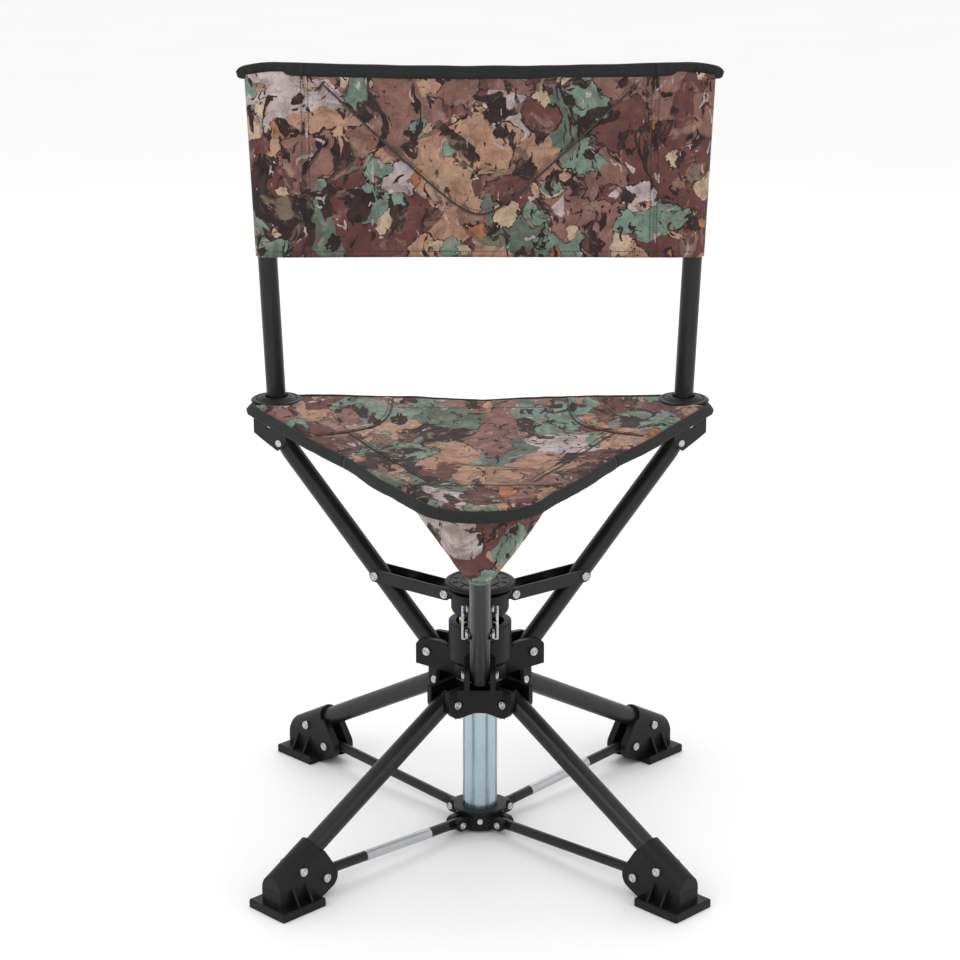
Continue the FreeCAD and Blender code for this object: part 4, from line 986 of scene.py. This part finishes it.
def pocket_ring(front, back, half, count):
    """A level of the pocket: an oval between its front and back points, half wide each way."""
    centre, reach = (front + back) / 2, (front - back) / 2
    return [centre - reach * math.sin(a) + Vector((half * math.cos(a), 0, 0)) for a in circle(count)]


def pocket_mouth(count):
    """Where the pocket meets the seat: just inside the binding in front, and an oval behind."""
    spread = math.radians(POCKET_SPREAD)
    ring = []
    for a in circle(count):
        turned = -math.pi / 2 + spread * math.cos(a)
        r = POCKET_REACH * edge_radius(turned)
        x, y = r * math.cos(turned), r * math.sin(turned)
        if math.sin(a) > 0:
            side = -math.pi / 2 + math.copysign(spread, math.cos(a))
            r = POCKET_REACH * edge_radius(side)
            x, y = r * math.cos(side) * abs(math.cos(a)), r * math.sin(side)
            y += (POCKET_BACK - y) * math.sin(a)
        ring.append(Vector((x, y, seat_height(x, y) - 0.0045)))
    return ring


def make_pocket(levels=30, count=64, bend=0.40):
    """The cone of cloth under the seat's front corner, drawn over the front tube's end."""
    tip = pocket_ring(Vector((0, -0.2390, 0.3776)), Vector((0, -0.2180, 0.3972)), 0.0150, count)
    middle = pocket_ring(Vector((0, -0.2630, 0.4000)), Vector((0, -0.2150, 0.4230)), 0.0310, count)
    mouth = pocket_mouth(count)
    rings = []
    for i in range(levels + 1):
        t = i / levels
        swell = math.sin(math.pi * t)
        rounding = 0.12 * max(0.0, 1 - abs(t - bend) / 0.3)
        ring = []
        for k, a in enumerate(circle(count)):
            if t < bend:
                p = tip[k].lerp(middle[k], t / bend)
            else:
                p = middle[k].lerp(mouth[k], (t - bend) / (1 - bend))
            p = p.lerp(tip[k].lerp(mouth[k], t), rounding)
            out = Vector((math.cos(a), -math.sin(a), -0.4)).normalized()
            pull = noise.noise(Vector((math.cos(a) * 4.5, math.sin(a) * 4.5, t * 1.3)))
            crease = 0.4 * noise.noise(Vector((a * 3.0, 7.1, t * 5.0)))
            ring.append(p + out * 0.0030 * swell * (pull + crease))
        rings.append(ring)
    piece = make_piece("front_pocket", *loft(rings), "camo_fabric", "seat_tube_front", "camo_fabric")
    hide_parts("seat_pocket")
    hem = [p + Vector((0, -0.0004, -0.0004)) for p in rings[3] + rings[3][:1]]
    tip_middle = Vector((0, -0.2300, 0.3890))
    sewn = stitches(hem, lambda p: (p - tip_middle).normalized() + Vector((0, -0.0007, -0.0007)))
    make_piece("pocket_stitches", *sewn, "thread", "seat_tube_front", "camo_fabric")


def make_grommets():
    """The moulded disc round each upright, with a raised rim, a groove and a collar, sewn to the seat."""
    for name in ("left", "right"):
        low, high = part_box("grommet_" + name)
        outer = (high.x - low.x) / 2
        base = Vector(((low.x + high.x) / 2, (low.y + high.y) / 2, low.z))
        profile = [(0.0125, 0.0), (outer, 0.0), (outer + 0.0004, 0.0012), (outer - 0.0012, 0.0026),
                   (outer - 0.0045, 0.0030), (outer - 0.0052, 0.0022), (outer - 0.0064, 0.0022),
                   (outer - 0.0072, 0.0034), (0.0190, 0.0040), (0.0172, 0.0058), (0.0148, 0.0062),
                   (0.0128, 0.0052)]
        body = "upright_" + name
        disc = make_piece("grommet_disc_" + name, *turned_ring(profile, base, 48), "black_plastic", body,
                          "black_plastic")
        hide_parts("grommet_" + name)
        sewn_at = outer - 0.0058
        ring = [base + Vector((sewn_at * math.cos(a), sewn_at * math.sin(a), 0.0026))
                for a in circle(60) + [2 * math.pi]]
        make_piece("grommet_stitches_" + name, *stitches(ring, UP), "thread", body, "camo_fabric")


def make_cap_relief():
    """Plain raised rings and ribs on the cap disc."""
    _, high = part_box("collar_cap")
    centre = Vector((0, 0, high.z))
    parts = []
    for radius in (0.0345, 0.0215):
        section = [(radius - 0.0011, -0.0004), (radius - 0.0008, 0.0006), (radius + 0.0008, 0.0006),
                   (radius + 0.0011, -0.0004)]
        parts.append(turned_ring(section, centre, 56))
    for k in range(12):
        a = math.radians(30 * k + 15)
        path = [centre + Vector((r * math.cos(a), r * math.sin(a), 0.0001))
                for r in (0.0245, 0.0260, 0.0280, 0.0300, 0.0315)]
        parts.append(tape(path, UP, 0.0011, 0.0016, 8))
    make_piece("cap_relief", *merge(parts), "black_plastic", "collar", "black_plastic")


# ---------------------------------------------------------------- stage


def make_stage():
    """A white world, a large pale floor and four soft lamps."""
    world = bpy.data.worlds.new("studio")
    bpy.context.scene.world = world
    world.use_nodes = True
    background = world.node_tree.nodes["Background"]
    background.inputs["Color"].default_value = (1, 1, 1, 1)
    background.inputs["Strength"].default_value = 1.0
    n = Nodes("floor")
    grain = n.noise(3, 2).outputs["Fac"]
    n.shader(Base_Color=n.mix(grain, (0.92, 0.92, 0.92), (0.95, 0.95, 0.95)), Roughness=0.7)
    mesh = bpy.data.meshes.new("floor")
    reach = 14.0
    mesh.from_pydata([(-reach, -reach, 0), (reach, -reach, 0), (reach, reach, 0), (-reach, reach, 0)], [],
                     [(0, 1, 2, 3)])
    mesh.materials.append(n.mat)
    floor = bpy.data.objects.new("floor", mesh)
    bpy.context.scene.collection.objects.link(floor)
    floor.location.z = -0.0005
    aim = Vector((0, 0, 0.4))
    lamps = (("key", (-1.9, -2.2, 2.6), 1.6, 20), ("fill", (2.3, -1.9, 1.9), 1.8, 8),
             ("rear", (0.3, 2.6, 2.4), 2.0, 12), ("top", (0, 0, 3.2), 2.4, 10))
    for name, place, width, power in lamps:
        light = bpy.data.lights.new(name, "AREA")
        light.size, light.energy = width, power
        item = bpy.data.objects.new(name, light)
        item.location = place
        item.rotation_euler = (aim - Vector(place)).to_track_quat("-Z", "Y").to_euler()
        bpy.context.scene.collection.objects.link(item)


def make_camera():
    """The viewpoint: in front, a little above the seat, looking down by the dip."""
    dip = 17.67
    lens = bpy.data.cameras.new("camera")
    lens.sensor_width = 36
    lens.lens = 97.8
    camera = bpy.data.objects.new("camera", lens)
    camera.location = (0, -2.741, 1.288)
    camera.rotation_euler = (math.radians(90 - dip), 0, 0)
    bpy.context.scene.collection.objects.link(camera)
    bpy.context.scene.camera = camera
    bpy.context.scene.view_settings.view_transform = "Standard"


finish_cad_nodes()
make_bolt_faces()
make_backrest()
make_seat()
make_pocket()
make_grommets()
make_cap_relief()
make_stage()
make_camera()
